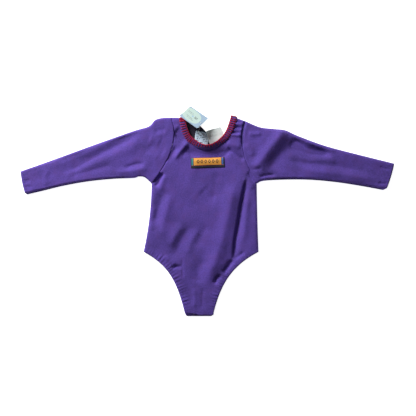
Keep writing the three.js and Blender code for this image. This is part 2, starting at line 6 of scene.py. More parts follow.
import bmesh
import bpy
import numpy as np
from mathutils import Vector, geometry
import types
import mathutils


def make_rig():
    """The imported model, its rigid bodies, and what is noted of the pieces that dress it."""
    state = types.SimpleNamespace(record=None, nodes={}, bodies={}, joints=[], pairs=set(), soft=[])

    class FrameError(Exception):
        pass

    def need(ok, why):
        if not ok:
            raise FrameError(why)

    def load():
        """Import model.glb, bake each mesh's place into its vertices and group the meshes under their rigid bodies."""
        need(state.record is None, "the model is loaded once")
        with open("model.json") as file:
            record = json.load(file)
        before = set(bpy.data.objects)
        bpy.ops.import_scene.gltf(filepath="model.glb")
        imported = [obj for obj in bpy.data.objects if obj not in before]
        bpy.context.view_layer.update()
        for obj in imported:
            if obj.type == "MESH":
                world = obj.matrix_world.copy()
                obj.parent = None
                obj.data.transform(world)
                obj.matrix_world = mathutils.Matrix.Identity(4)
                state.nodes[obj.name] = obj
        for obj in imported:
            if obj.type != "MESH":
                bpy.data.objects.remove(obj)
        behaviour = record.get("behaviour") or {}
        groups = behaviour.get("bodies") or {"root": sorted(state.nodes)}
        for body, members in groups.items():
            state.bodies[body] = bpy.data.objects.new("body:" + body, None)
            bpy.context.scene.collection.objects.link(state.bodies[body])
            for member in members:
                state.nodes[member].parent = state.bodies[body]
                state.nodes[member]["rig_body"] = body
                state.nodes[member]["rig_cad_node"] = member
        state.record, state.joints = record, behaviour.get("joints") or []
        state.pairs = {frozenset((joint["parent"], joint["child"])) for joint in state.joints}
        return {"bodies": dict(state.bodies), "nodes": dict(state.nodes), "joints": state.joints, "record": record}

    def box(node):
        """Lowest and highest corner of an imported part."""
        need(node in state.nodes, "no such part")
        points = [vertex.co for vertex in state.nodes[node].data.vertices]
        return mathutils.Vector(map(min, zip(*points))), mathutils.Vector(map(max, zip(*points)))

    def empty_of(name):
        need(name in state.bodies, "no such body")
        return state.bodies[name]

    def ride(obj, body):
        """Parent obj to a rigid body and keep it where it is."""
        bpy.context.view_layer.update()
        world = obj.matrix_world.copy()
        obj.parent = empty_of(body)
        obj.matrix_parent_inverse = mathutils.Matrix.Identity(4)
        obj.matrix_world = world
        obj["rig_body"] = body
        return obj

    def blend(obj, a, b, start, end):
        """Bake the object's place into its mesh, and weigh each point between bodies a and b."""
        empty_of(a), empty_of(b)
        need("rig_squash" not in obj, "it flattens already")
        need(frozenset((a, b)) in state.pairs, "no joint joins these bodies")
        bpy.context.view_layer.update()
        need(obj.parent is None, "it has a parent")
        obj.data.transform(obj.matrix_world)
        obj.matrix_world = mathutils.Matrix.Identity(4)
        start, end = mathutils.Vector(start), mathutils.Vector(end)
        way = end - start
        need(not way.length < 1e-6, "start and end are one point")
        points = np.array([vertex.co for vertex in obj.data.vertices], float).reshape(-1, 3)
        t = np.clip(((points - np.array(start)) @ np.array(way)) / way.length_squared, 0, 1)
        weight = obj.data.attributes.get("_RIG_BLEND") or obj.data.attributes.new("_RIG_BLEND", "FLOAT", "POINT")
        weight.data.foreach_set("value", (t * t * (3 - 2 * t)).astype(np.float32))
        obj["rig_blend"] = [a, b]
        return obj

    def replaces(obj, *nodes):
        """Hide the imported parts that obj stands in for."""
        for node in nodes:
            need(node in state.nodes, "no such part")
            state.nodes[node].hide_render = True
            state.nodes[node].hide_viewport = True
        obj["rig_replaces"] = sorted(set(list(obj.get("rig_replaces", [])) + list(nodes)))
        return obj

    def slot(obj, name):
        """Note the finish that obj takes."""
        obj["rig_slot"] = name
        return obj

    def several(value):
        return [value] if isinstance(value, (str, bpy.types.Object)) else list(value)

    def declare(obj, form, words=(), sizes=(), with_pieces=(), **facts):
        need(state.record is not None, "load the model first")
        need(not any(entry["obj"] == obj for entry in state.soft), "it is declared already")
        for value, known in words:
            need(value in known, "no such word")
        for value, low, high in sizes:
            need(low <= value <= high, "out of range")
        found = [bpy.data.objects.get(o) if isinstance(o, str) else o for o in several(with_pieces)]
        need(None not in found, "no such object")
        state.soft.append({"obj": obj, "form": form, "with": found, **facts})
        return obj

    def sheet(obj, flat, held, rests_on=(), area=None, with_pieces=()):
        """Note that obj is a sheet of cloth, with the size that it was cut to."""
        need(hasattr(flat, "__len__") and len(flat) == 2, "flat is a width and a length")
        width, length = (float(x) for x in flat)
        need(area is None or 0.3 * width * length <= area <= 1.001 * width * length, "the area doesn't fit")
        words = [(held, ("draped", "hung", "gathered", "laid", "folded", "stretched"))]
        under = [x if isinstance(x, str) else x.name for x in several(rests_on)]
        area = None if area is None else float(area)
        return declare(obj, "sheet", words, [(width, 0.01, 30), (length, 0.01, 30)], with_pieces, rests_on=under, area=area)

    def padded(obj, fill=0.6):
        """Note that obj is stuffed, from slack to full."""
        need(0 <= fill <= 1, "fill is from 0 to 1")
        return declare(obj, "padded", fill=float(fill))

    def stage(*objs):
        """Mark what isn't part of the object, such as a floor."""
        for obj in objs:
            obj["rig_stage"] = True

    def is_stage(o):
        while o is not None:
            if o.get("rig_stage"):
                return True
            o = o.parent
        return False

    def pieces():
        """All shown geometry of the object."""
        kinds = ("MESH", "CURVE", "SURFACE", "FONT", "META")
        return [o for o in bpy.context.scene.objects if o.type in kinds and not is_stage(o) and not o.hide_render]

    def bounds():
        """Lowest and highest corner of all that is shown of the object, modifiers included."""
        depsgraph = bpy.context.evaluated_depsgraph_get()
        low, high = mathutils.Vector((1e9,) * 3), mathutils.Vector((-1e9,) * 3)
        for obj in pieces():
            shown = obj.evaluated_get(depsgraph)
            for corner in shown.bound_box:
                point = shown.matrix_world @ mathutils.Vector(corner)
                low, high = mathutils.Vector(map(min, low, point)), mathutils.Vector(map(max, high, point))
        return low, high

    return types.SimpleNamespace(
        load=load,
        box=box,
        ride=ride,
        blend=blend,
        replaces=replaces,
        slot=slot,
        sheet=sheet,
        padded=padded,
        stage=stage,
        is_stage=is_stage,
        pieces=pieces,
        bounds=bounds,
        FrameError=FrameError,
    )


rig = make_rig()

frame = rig.load()
CAD_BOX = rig.bounds()

bl_info = {
    "name": "Flat-laid leotard",
    "version": (1, 0, 0),
    "blender": (4, 5, 0),
    "location": "3D View > Sidebar > Leotard",
    "description": "Builds the knitted panels, sleeves, whipped neck, patch, labels and snaps of a leotard",
    "category": "Object",
}

MM = 0.001


# ---------------------------------------------------------------- settings
class LeotardSizes(bpy.types.PropertyGroup):
    """Sizes that a maker would change. Lengths are in metres."""

    cloth_thickness: bpy.props.FloatProperty(
        name="Jersey thickness", description="Thickness of the knitted jersey",
        default=0.0009, unit="LENGTH", subtype="DISTANCE")
    mesh_step: bpy.props.FloatProperty(
        name="Mesh step", description="Distance between points of the cloth",
        default=0.0028, unit="LENGTH", subtype="DISTANCE")
    fold_depth: bpy.props.FloatProperty(
        name="Fold depth", description="How deep the folds are, as a share of how they lie now",
        default=1.0, min=0.0, max=2.0, subtype="FACTOR")
    wale_width: bpy.props.FloatProperty(
        name="Wale width", description="Width of one column of knitted stitches",
        default=0.0014, unit="LENGTH", subtype="DISTANCE")
    yarn_radius: bpy.props.FloatProperty(
        name="Yarn radius", description="Radius of the yarn that is whipped round the neck",
        default=0.00105, unit="LENGTH", subtype="DISTANCE")
    stitch_length: bpy.props.FloatProperty(
        name="Stitch length", description="Length of a topstitch in the hems",
        default=0.0026, unit="LENGTH", subtype="DISTANCE")
    jersey_colour: bpy.props.StringProperty(
        name="Jersey colour", description="sRGB hex colour of the jersey", default="573ea0")
    yarn_colour: bpy.props.StringProperty(
        name="Yarn colour", description="sRGB hex colour of the whipped yarn", default="c4154a")


def sizes():
    return bpy.context.scene.leotard_sizes


# ---------------------------------------------------------------- small geometry helpers
def curve_through(knots, count):
    """A smooth line of evenly spaced points through the knots."""
    knots = np.asarray(knots, float)
    if len(knots) == 2:
        return knots[0] + np.linspace(0, 1, count)[:, None] * (knots[1] - knots[0])
    padded = np.vstack([2 * knots[0] - knots[1], knots, 2 * knots[-1] - knots[-2]])
    t = np.linspace(0, 1, 24, endpoint=False)[:, None]
    pieces = []
    for a, b, c, d in zip(padded, padded[1:], padded[2:], padded[3:]):
        pieces.append(
            0.5 * (2 * b + (c - a) * t + (2 * a - 5 * b + 4 * c - d) * t**2 + (3 * b - a - 3 * c + d) * t**3))
    dense = np.vstack([*pieces, knots[-1:]])
    return evenly(dense, count)


def bezier(corners, count=60):
    """A Bezier curve, drawn from the points that steer it."""
    t = np.linspace(0, 1, count)[:, None]
    rows = [np.repeat(np.array([corner], float), count, 0) for corner in corners]
    while len(rows) > 1:
        rows = [a * (1 - t) + b * t for a, b in zip(rows, rows[1:])]
    return rows[0]


def lengths_along(line):
    return np.concatenate([[0], np.cumsum(np.linalg.norm(np.diff(line, axis=0), axis=1))])


def evenly(line, count):
    along = lengths_along(line)
    at = np.linspace(0, along[-1], count)
    return np.stack([np.interp(at, along, line[:, k]) for k in range(line.shape[1])], 1)


def stepped(line, step):
    return evenly(line, max(3, int(round(lengths_along(line)[-1] / step)) + 1))


def leftward(line):
    """Unit vectors to the left of a plan line's direction of travel."""
    tangent = np.gradient(line, axis=0)
    tangent /= np.linalg.norm(tangent, axis=1)[:, None] + 1e-12
    return np.stack([-tangent[:, 1], tangent[:, 0]], 1)


def nearest(line, xy):
    """Distance from each point to a line, the place along it from 0 to 1, and +1 on its left."""
    best = np.full(len(xy), 1e9)
    place = np.zeros(len(xy))
    side = np.ones(len(xy))
    along = lengths_along(line)
    for i, (a, b) in enumerate(zip(line, line[1:])):
        d = b - a
        length2 = d @ d + 1e-12
        t = np.clip(((xy - a) @ d) / length2, 0, 1)
        off = xy - (a + t[:, None] * d)
        distance = np.linalg.norm(off, axis=1)
        closer = distance < best
        best[closer] = distance[closer]
        place[closer] = (along[i] + t * math.sqrt(length2))[closer] / along[-1]
        side[closer] = np.sign(d[0] * off[:, 1] - d[1] * off[:, 0])[closer]
    return best, place, side


def inside(outline, xy):
    hit = np.zeros(len(xy), bool)
    x, y = xy[:, 0], xy[:, 1]
    for a, b in zip(outline, np.roll(outline, -1, 0)):
        crosses = (a[1] > y) != (b[1] > y)
        at = a[0] + (y - a[1]) * (b[0] - a[0]) / (b[1] - a[1] + 1e-12)
        hit ^= crosses & (x < at)
    return hit


def smooth(t):
    t = np.clip(t, 0, 1)
    return t * t * (3 - 2 * t)


def elliptic(reach):
    """The height of a quarter round, from 0 at its foot to 1."""
    reach = np.clip(reach, 0, 1)
    return np.sqrt(np.clip(1 - (1 - reach) ** 2, 0, 1))


def signed_area(outline):
    x, y = outline[:, 0], outline[:, 1]
    return (x @ np.roll(y, -1) - y @ np.roll(x, -1)) / 2


# ---------------------------------------------------------------- the cut, in millimetres
SIDES = {"left": 1, "right": -1}
NECK = {"left": (70.5, 246), "right": (-45, 246)}
SHOULDER = {"left": (105.5, 236), "right": (-79.5, 245)}
UNDERARM = {"left": (133.5, 81), "right": (-127.5, 81)}
HIP = {"left": (138, -89), "right": (-147.5, -89)}
TAB = {"left": (21.1, -250), "right": (-39.9, -250)}
FRONT_HEM = -245.5
BACK_HEM = -250.0
PLACKET = 22.0
TAB_MIDDLE = (-0.0094, 0.009)
SLEEVE_CUT = {
    "left": dict(length=322, lie=3, cuff=69.5, turn=73,
                 top=((0.1, -4.5), (0.2, 1.5), (0.266, 5.4), (0.36, 0.4), (0.55, -4.7), (0.8, -2.6)),
                 under=((0.05, 7.8), (0.2, 13.4), (0.4, 16.7), (0.6, 14.6), (0.8, 8.4))),
    "right": dict(length=315, lie=5, cuff=59, turn=78.5,
                  top=((0.05, 6.2), (0.1, 7.6), (0.15, -2), (0.26, 0), (0.55, 0.3), (0.8, -0.4)),
                  under=((0.05, 17), (0.1, 20.5), (0.14, 18), (0.3, 20.4), (0.5, 19.6), (0.7, 14),
                         (0.86, 6.4))),
}
CUFF_CORNER = {"left": 9.0, "right": 4.0}
LEDGE_START = {"left": 0.0, "right": 0.16}


def armhole_line(name):
    (sx, sy), (ux, uy), side = SHOULDER[name], UNDERARM[name], SIDES[name]
    return bezier([(sx, sy), (sx - side * 19, sy - 48), (sx - side * 4, sy - 100), (ux, uy)])


def side_line(name):
    (ux, uy), (hx, hy) = UNDERARM[name], HIP[name]
    return bezier([(ux, uy), (ux + SIDES[name], (uy + hy) / 2), (hx, hy)])


def leg_line(name):
    (hx, hy), (tx, ty), side = HIP[name], TAB[name], SIDES[name]
    return bezier([(hx, hy), (hx - side * 62, hy - 33), (tx + side * 24, ty + 88), (tx + side * 4, ty + 4)])


def sleeve_lines(name):
    """The top and under edges of a sleeve from the body to the cuff."""
    cut, side = SLEEVE_CUT[name], SIDES[name]
    start, under = np.array(SHOULDER[name], float), np.array(UNDERARM[name], float)
    lie, turn = math.radians(cut["lie"]), math.radians(cut["turn"])
    low = under + cut["length"] * np.array([side * math.cos(lie), -math.sin(lie)])
    high = low + cut["cuff"] * np.array([side * math.cos(turn), math.sin(turn)])

    def bowed(a, b, bow):
        along = b - a
        up = np.array([-along[1], along[0]]) / np.linalg.norm(along) * side
        return curve_through([a, *[a + along * t + up * h for t, h in bow], b], 140)

    return bowed(start, high, cut["top"]), bowed(under, low, cut["under"])


def front_neck_line():
    (lx, y), (rx, _) = NECK["left"], NECK["right"]
    mid = (lx + rx) / 2
    return curve_through([(rx, y), (rx + 4, 220.85), (rx + 17, 195.3), (mid - 7, 177), (lx - 34, 187),
                          (lx - 13, 210.5), (lx, y)], 120)


def back_neck_line():
    (lx, y), (rx, _) = NECK["left"], NECK["right"]
    mid = (lx + rx) / 2
    return curve_through([(rx, y), (rx + 25, 236.5), (rx + 41, 222.3), (mid + 9, 195.3), (mid + 30, 175),
                          (lx - 8, 190.3), (lx, y)], 120)


BAND_WIDTH = 14.0
BAND_ROLL = math.radians(33)
BAND_LIFT = 3.0


def band_roll(x):
    """How far the binding rolls forward, from 0 to 1, across the bottom of the neck."""
    return smooth(1.25 - np.abs(np.asarray(x) - 15) / 46)


def panel_outline(neck, hem, hem_line=None):
    """The cut line of a body panel, and which stretch of it is which edge."""
    edges = {
        "neck": neck - leftward(neck) * (BAND_WIDTH - 2.5),
        "left_shoulder": np.array([NECK["left"], SHOULDER["left"]], float),
        "left_armhole": armhole_line("left"),
        "left_side": side_line("left"),
        "left_leg": leg_line("left"),
    }
    (nx, ny) = edges["neck"][-1]
    edges["left_shoulder"][0] = (nx, ny)
    edges["left_leg"] = edges["left_leg"][edges["left_leg"][:, 1] > hem]
    edges["right_leg"] = leg_line("right")[::-1]
    edges["right_leg"] = edges["right_leg"][edges["right_leg"][:, 1] > hem]
    left_end, right_end = edges["left_leg"][-1].copy(), edges["right_leg"][0].copy()
    left_end[1] = right_end[1] = hem
    edges["hem"] = np.array([left_end, right_end]) if hem_line is None else hem_line(left_end, right_end)
    edges["right_side"] = side_line("right")[::-1]
    edges["right_armhole"] = armhole_line("right")[::-1]
    edges["right_shoulder"] = np.array([SHOULDER["right"], edges["neck"][0]], float)
    order = ["neck", "left_shoulder", "left_armhole", "left_side", "left_leg", "hem",
             "right_leg", "right_side", "right_armhole", "right_shoulder"]
    return {key: edges[key] for key in order}


# ---------------------------------------------------------------- folds
# Each fold is a line on the cloth: its points, its half width, its height (below zero for a
# valley) and its lean, which makes the flank on its left wider and the other one steeper.
BODY_FOLDS = [
    # the long fold that leans across the wearer's left side, its roll and the flat beyond it
    (((113, 114), (109, 94), (104, 72), (97, 37), (91, 2), (86, -30), (80, -60), (78, -87), (74, -112),
      (70, -126)), 6.2, -7.5, 0.4),
    (((96, 110), (82, 80), (71, 51), (63, 2), (50, -46), (41, -79), (28, -114), (17, -142), (6, -190)),
     19, 6.6, 0),
    (((112, 60), (108, 20), (104, -30), (98, -70)), 9, 2.4, 0),
    (((74, -108), (66, -122), (50, -146)), 7, -5.6, 0),
    (((48, -148), (36, -154), (28, -171)), 5.5, -4.6, 0),
    # soft hollows down the wearer's right side and the middle
    (((-98, 66), (-104, 40), (-113, 12), (-122, -26)), 12, -3.6, 0),
    (((-118, 30), (-126, 0), (-134, -40)), 8, 1.8, 0),
    (((-84, 60), (-88, 20), (-98, -20), (-106, -62)), 13, 2.6, 0),
    (((-26, -22), (-50, -50), (-62, -78), (-80, -108)), 14, -2.6, 0),
    (((-46, -22), (-66, -44), (-84, -78)), 11, 2.4, 0),
    (((18, -20), (-4, -46), (-18, -80)), 13, -1.9, 0),
    (((-8, -30), (-30, -66), (-42, -100)), 10, 2.2, 0),
    (((-52, -102), (-51, -130), (-50, -158)), 2.2, -1.5, 0),
    (((-80, -131), (-66, -126), (-52, -127)), 4.2, -3.2, 0),
    (((4, -104), (-10, -136), (-12, -170)), 13, -2.2, 0),
    (((-6, 66), (14, 50), (34, 46)), 16, -1.8, 0),
    # the hollow under the neck, and the puckers that its binding draws
    (((-46, 174), (-26, 155), (0, 149), (24, 148), (52, 154), (76, 170)), 10, -6.4, 0.3),
    (((-30, 142), (8, 134), (50, 140)), 9, 2.2, 0),
    (((-34, 186), (-48, 171), (-62, 154), (-72, 138)), 5.2, 3.6, 0),
    (((-32, 176), (-44, 160), (-52, 146)), 5, -1.8, 0),
    (((-92, 224), (-74, 211), (-57, 197), (-40, 181)), 8.5, -6.0, 0),
    (((-60, 228), (-68, 217), (-80, 208)), 4.5, 2.2, 0),
    (((-62, 176), (-80, 154), (-92, 134)), 7.5, -3.2, 0),
    (((60, 172), (74, 159), (92, 146), (106, 138)), 5.2, -4.2, 0),
    (((60, 186), (76, 176), (96, 170)), 6.5, 2.6, 0),
    (((74, 238), (86, 236), (98, 232)), 2.8, -3.4, 0),
    (((74, 222), (86, 221), (97, 216)), 3.2, -4.2, 0),
    (((68, 209), (82, 208), (95, 205)), 3.0, -3.2, 0),
    (((66, 202), (80, 201), (96, 199)), 3.0, 3.0, 0),
    (((74, 230), (86, 229), (98, 225)), 3.0, 2.0, 0),
    # the armpits
    (((-125, 80), (-114, 92), (-102, 109)), 3.0, -7.6, 0),
    (((-120, 72), (-108, 89), (-98, 110)), 3.8, -7.0, 0),
    (((-120, 80), (-110, 92), (-100, 108)), 1.6, 2.2, 0),
    (((-108, 60), (-100, 84), (-92, 104)), 7, 1.8, 0),
    (((131, 84), (120, 96), (112, 112)), 3.0, -3.4, 0),
    (((126, 66), (114, 84), (102, 98)), 5, 2.2, 0),
    (((40, 110), (30, 74), (34, 38)), 14, -1.5, 0),
    (((-96, -98), (-82, -112), (-66, -122)), 5.5, 2.0, 0),
    (((104, -88), (92, -98), (78, -108)), 4.5, -2.6, 0),
    (((-22, -178), (-20, -204), (-22, -230)), 6, 1.6, 0),
    (((2, -176), (-2, -204), (0, -232)), 5, -1.4, 0),
]
SLEEVE_FOLDS = {
    "left": [
        (((118, 102), (140, 132), (164, 164), (190, 198), (210, 226)), 16, 7.4, -0.2),
        (((156, 112), (180, 138), (204, 164), (228, 180), (256, 172)), 17, -4.4, 0),
        (((212, 206), (238, 194), (268, 181), (300, 169), (330, 159)), 6.5, 6.0, 0),
        (((212, 177), (240, 170), (263, 160), (288, 158), (324, 156)), 15, -8.6, 0.25),
        (((228, 146), (248, 143), (268, 138), (300, 141), (340, 136)), 9, 2.0, 0),
        (((190, 142), (230, 136), (290, 130), (344, 122), (430, 108)), 13, -3.4, 0.2),
        (((232, 114), (320, 106), (400, 94), (446, 84)), 11, 2.8, 0),
        (((108, 118), (126, 116), (148, 120)), 5, -3.0, 0),
        (((138, 96), (158, 101), (182, 103)), 4.0, -3.0, 0),
        (((112, 206), (126, 203), (146, 206)), 5.0, 2.6, 0),
        (((104, 180), (118, 164), (122, 146)), 8, 2.2, 0),
        (((440, 124), (452, 118), (466, 116)), 3.2, -1.6, 0),
        (((436, 84), (448, 80), (458, 82)), 3.2, -2.2, 0),
    ],
    "right": [
        (((-152, 208), (-204, 180), (-240, 162), (-276, 143), (-314, 122), (-362, 104)), 12, -3.8, -0.3),
        (((-130, 196), (-200, 160), (-262, 132), (-330, 104)), 15, 1.5, 0),
        (((-200, 200), (-280, 160), (-370, 124), (-440, 100)), 8, 0.9, 0),
        (((-198, 119), (-176, 126), (-161, 130), (-144, 128)), 6, -2.7, -0.2),
        (((-134, 112), (-150, 117), (-176, 112), (-220, 108)), 8, 2.4, 0),
        (((-220, 130), (-270, 116), (-340, 96)), 9, -2.2, 0),
        (((-92, 211), (-106, 213), (-120, 208)), 6, -1.8, 0),
        (((-88, 203), (-104, 204), (-122, 198)), 7, 1.2, 0),
        (((-92, 156), (-112, 166), (-138, 178)), 13, -1.8, 0),
        (((-104, 184), (-118, 190), (-134, 194)), 12, 1.6, 0),
        (((-110, 142), (-124, 148), (-146, 156)), 9, 1.0, 0),
        (((-380, 118), (-392, 96), (-388, 74)), 7, 1.4, 0),
        (((-444, 84), (-438, 88), (-428, 88)), 4, -1.4, 0),
        (((-442, 72), (-432, 72), (-424, 70)), 4, -1.2, 0),
    ],
}


def folded(xy, folds):
    """The height that the folds add to each point of the cloth."""
    total = np.zeros(len(xy))
    for knots, width, height, lean in folds:
        distance, place, side = nearest(curve_through(knots, 22), xy)
        taper = smooth(np.minimum(place, 1 - place) / 0.22)
        spread = width * (1 + lean * side)
        total += height * taper * np.exp(-((distance / spread) ** 1.7))
    return total


def rippled(xy, wavelength, seed, count=14):
    """Soft uneven waves of about one size, the same each time for one seed."""
    random = np.random.default_rng(seed)
    total = np.zeros(len(xy))
    for _ in range(count):
        angle, phase = random.uniform(0, math.pi), random.uniform(0, 2 * math.pi)
        wave = 2 * math.pi / (wavelength * random.uniform(0.7, 1.5))
        total += np.sin(wave * (xy[:, 0] * math.cos(angle) + xy[:, 1] * math.sin(angle)) + phase)
    return total / math.sqrt(count / 2)


def lay_of_cloth(xy, folds, seed):
    depth = sizes().fold_depth
    fine = 0.03 * rippled(xy, 9, seed + 2) * (0.6 + 0.4 * rippled(xy, 55, seed + 3))
    return depth * (folded(xy, folds) + 0.42 * rippled(xy, 75, seed) + 0.1 * rippled(xy, 26, seed + 1) + fine)


FRONT_LEVEL = 8.3
BACK_LEVEL = 0.55
SEAM_LEVEL = 4.5


def seam_dip(distance, place):
    """How far the cloth sinks at an armhole's seam. It gapes at the top of the wearer's left one."""
    gaping = smooth((0.42 - place) / 0.1)
    return (0.8 + 3.7 * gaping) * np.exp(-((distance / (1.4 + 1.0 * gaping)) ** 2))


FOLD_LIMIT = -6.6
SEAM_REACH = 7.0
HEM_WIDTH = 8.0


def body_height(xy, edges, front):
    """Height of the middle of the cloth of a body panel."""
    sheet = FRONT_LEVEL if front else BACK_LEVEL
    z = np.full(len(xy), sheet)
    hold = np.ones(len(xy))
    if front:
        folds = np.maximum(lay_of_cloth(xy, BODY_FOLDS, 11), FOLD_LIMIT)
    else:
        folds = 0.25 * rippled(xy, 40, 31)
    meet = SEAM_LEVEL + (0.45 if front else -0.45)
    toward_sheet = np.minimum if front else np.maximum
    for key in ("left_side", "right_side", "left_shoulder", "right_shoulder"):
        distance, _, _ = nearest(edges[key], xy)
        arch = meet + (sheet - meet) * elliptic(distance / SEAM_REACH)
        z = np.where(distance < SEAM_REACH, toward_sheet(z, arch), z)
        hold = np.minimum(hold, smooth(distance / 10))
    for key in ("left_armhole", "right_armhole"):
        distance, place, _ = nearest(edges[key], xy)
        dip = seam_dip(distance, place if key == "left_armhole" else np.ones(len(xy)))
        z = z - (dip if front else -0.1 * dip)
        hold = np.minimum(hold, 0.35 + 0.65 * smooth(distance / 7))
    legs = np.full(len(xy), np.inf)
    for key in ("left_leg", "right_leg"):
        # elastic in the hem gathers the cloth in small uneven waves, and its stitch line sinks
        distance, place, _ = nearest(edges[key], xy)
        legs = np.minimum(legs, distance)
        length = lengths_along(edges[key])[-1]
        wave = np.sin(2 * math.pi * place * length / 7.4 + 1.3 * np.sin(place * 21))
        ends = smooth(np.minimum(place, 1 - place) / 0.12)
        gather = np.where(distance < HEM_WIDTH, 0.35 + 0.65 * smooth(distance / HEM_WIDTH),
                          np.exp(-((distance - HEM_WIDTH) / 10) ** 2))
        line = 0.55 * np.exp(-(((distance - HEM_WIDTH) / 0.9) ** 2))
        roll = 1.2 * np.exp(-((distance / 1.1) ** 2))
        share = 1.0 if front else 0.18
        unevenness = 0.68 + 0.32 * np.sin(place * 41 + 1)
        z = z + share * (1.1 * ends * unevenness * (1 + wave) * gather - 0.4 * line - roll)
        hold = np.minimum(hold, 0.35 + 0.65 * smooth(distance / 22))
    lowest = np.full(len(xy), 0.5)
    neck, _, _ = nearest(edges["neck"], xy)
    hold = np.minimum(hold, 0.55 + 0.45 * smooth(neck / 10))
    if front:
        hem, _, _ = nearest(edges["hem"], xy)
        z = z - 1.1 * np.exp(-((hem / 1.0) ** 2)) - 0.45 * np.exp(-(((hem - 4) / 0.8) ** 2))
        z = z - 0.9 * np.exp(-((neck / 2.5) ** 2)) - 1.2 * band_roll(xy[:, 0]) * np.exp(-((neck / 8) ** 2))
        # the front stays clear of the elastics in the leg hems, and of the back above the patch
        lowest = np.where(legs < 9, 8.25, np.maximum(1.9, 8.25 - (legs - 9) * 0.9))
        over_back = 3.8 * smooth((xy[:, 1] - 118) / 20)
        lowest = np.where(xy[:, 1] > 118, np.maximum(lowest, over_back), lowest)
    laid = z + folds * hold
    return np.maximum(laid, np.where(z > lowest, lowest, 0.5))


_front_edges = {}


def front_edges():
    if not _front_edges:
        def hem_line(left, right):
            return curve_through([left, (left[0] - 2.5, left[1] - 0.4), (8, -246.4), (-8, -245.8),
                                  (-23, -242.6), (right[0] + 3, -241.6), right + (0, 4.5)], 40)
        _front_edges.update(panel_outline(front_neck_line(), FRONT_HEM, hem_line))
    return _front_edges


def on_front(xy, lift=0.0):
    """Points on the top of the front panel, in metres."""
    xy = np.asarray(xy, float)
    z = body_height(xy, front_edges(), True) + sizes().cloth_thickness / MM / 2 + lift
    return np.column_stack([xy, z]) * MM


# ---------------------------------------------------------------- meshes
def new_object(name, points, faces, uv=None):
    """A smooth-shaded mesh at the origin. points are in metres and uv is one pair for each point."""
    mesh = bpy.data.meshes.new(name)
    mesh.from_pydata([tuple(p) for p in points], [], [tuple(f) for f in faces])
    mesh.validate()
    mesh.polygons.foreach_set("use_smooth", np.ones(len(mesh.polygons), bool))
    if uv is not None:
        corner = np.zeros(len(mesh.loops), np.int32)
        mesh.loops.foreach_get("vertex_index", corner)
        layer = mesh.uv_layers.new(name="cloth")
        layer.data.foreach_set("uv", np.asarray(uv, np.float32)[corner].ravel())
    made = bpy.data.objects.new(name, mesh)
    bpy.context.scene.collection.objects.link(made)
    return made


def apply_modifier(target, kind, **settings):
    bpy.ops.object.select_all(action="DESELECT")
    bpy.context.view_layer.objects.active = target
    target.select_set(True)
    modifier = target.modifiers.new(kind.title(), kind)
    for key, value in settings.items():
        setattr(modifier, key, value)
    bpy.ops.object.modifier_apply(modifier=modifier.name)
    target.select_set(False)


def thicken(target, thickness, offset=0.0):
    apply_modifier(target, "SOLIDIFY", thickness=thickness, offset=offset, use_even_offset=False)


def filled(outline, step, rings=(0.8, 2.0, 3.6, 5.6)):
    """Points and triangles that fill a plan outline, closer together near its edge."""
    outline = np.asarray(outline, float)
    closed = np.vstack([outline, outline[:1]])
    normal = leftward(closed)[:-1]
    if signed_area(outline) < 0:
        normal = -normal
    low, high = outline.min(0), outline.max(0)
    rows = np.arange(low[1], high[1], step * 0.866)
    grid = [np.column_stack([np.arange(low[0] + (i % 2) * step / 2, high[0], step),
                             np.full(len(np.arange(low[0] + (i % 2) * step / 2, high[0], step)), y)])
            for i, y in enumerate(rows)]
    grid = np.vstack(grid)
    grid = grid[inside(outline, grid)]
    last = rings[-1] if rings else 0
    distance, _, _ = nearest(closed, grid)
    grid = grid[distance > last + step * 0.6]
    points = [outline]
    for reach in rings:
        ring = outline + normal * reach
        ring = ring[inside(outline, ring)]
        distance, _, _ = nearest(closed, ring)
        points.append(ring[distance > reach * 0.93])
    points.append(grid)
    everything = np.vstack(points)
    count = len(outline)
    found = geometry.delaunay_2d_cdt(
        [Vector(p) for p in everything], [], [list(range(count))], 1, 1e-4)
    flat = np.array([[v.x, v.y] for v in found[0]])
    return flat, [list(f) for f in found[2]]


def joined_outline(edges, step):
    parts = [stepped(line, step)[:-1] for line in edges.values()]
    outline = np.vstack(parts)
    keep = np.linalg.norm(outline - np.roll(outline, 1, 0), axis=1) > 0.25 * step
    return outline[keep]


def grid_faces(rows, columns, rows_close=False, columns_close=False):
    """The faces of a grid of points, which may close on itself either way."""
    return [(i * columns + k, i * columns + (k + 1) % columns,
             (i + 1) % rows * columns + (k + 1) % columns, (i + 1) % rows * columns + k)
            for i in range(rows if rows_close else rows - 1)
            for k in range(columns if columns_close else columns - 1)]


def swept(path, across, up, section, closed_path=False):
    """Points and faces of a section carried along a path. across and up are unit vectors."""
    points = (path[:, None, :] + across[:, None, :] * section[None, :, 0, None]
              + up[:, None, :] * section[None, :, 1, None])
    return points.reshape(-1, 3), grid_faces(*points.shape[:2], closed_path, True)


def round_section(radius, sides=8):
    angle = np.linspace(0, 2 * math.pi, sides, endpoint=False)
    return radius * np.stack([np.cos(angle), np.sin(angle)], 1)


def tube(path, radius, sides=6):
    """Points and faces of a round thread along a path, closed at both ends."""
    path = np.asarray(path, float)
    tangent = np.gradient(path, axis=0)
    tangent /= np.linalg.norm(tangent, axis=1)[:, None] + 1e-12
    helper = np.array([0.0, 0.0, 1.0]) if abs(tangent[:, 2]).max() < 0.9 else np.array([0.31, 0.93, 0.2])
    across = np.cross(tangent, helper)
    across /= np.linalg.norm(across, axis=1)[:, None] + 1e-12
    up = np.cross(across, tangent)
    points, faces = swept(path, across, up, round_section(radius, sides))
    faces = [tuple(reversed(f)) for f in faces]
    count = len(path)
    faces.append(tuple(range(sides)))
    faces.append(tuple(reversed(range((count - 1) * sides, count * sides))))
    return points, faces


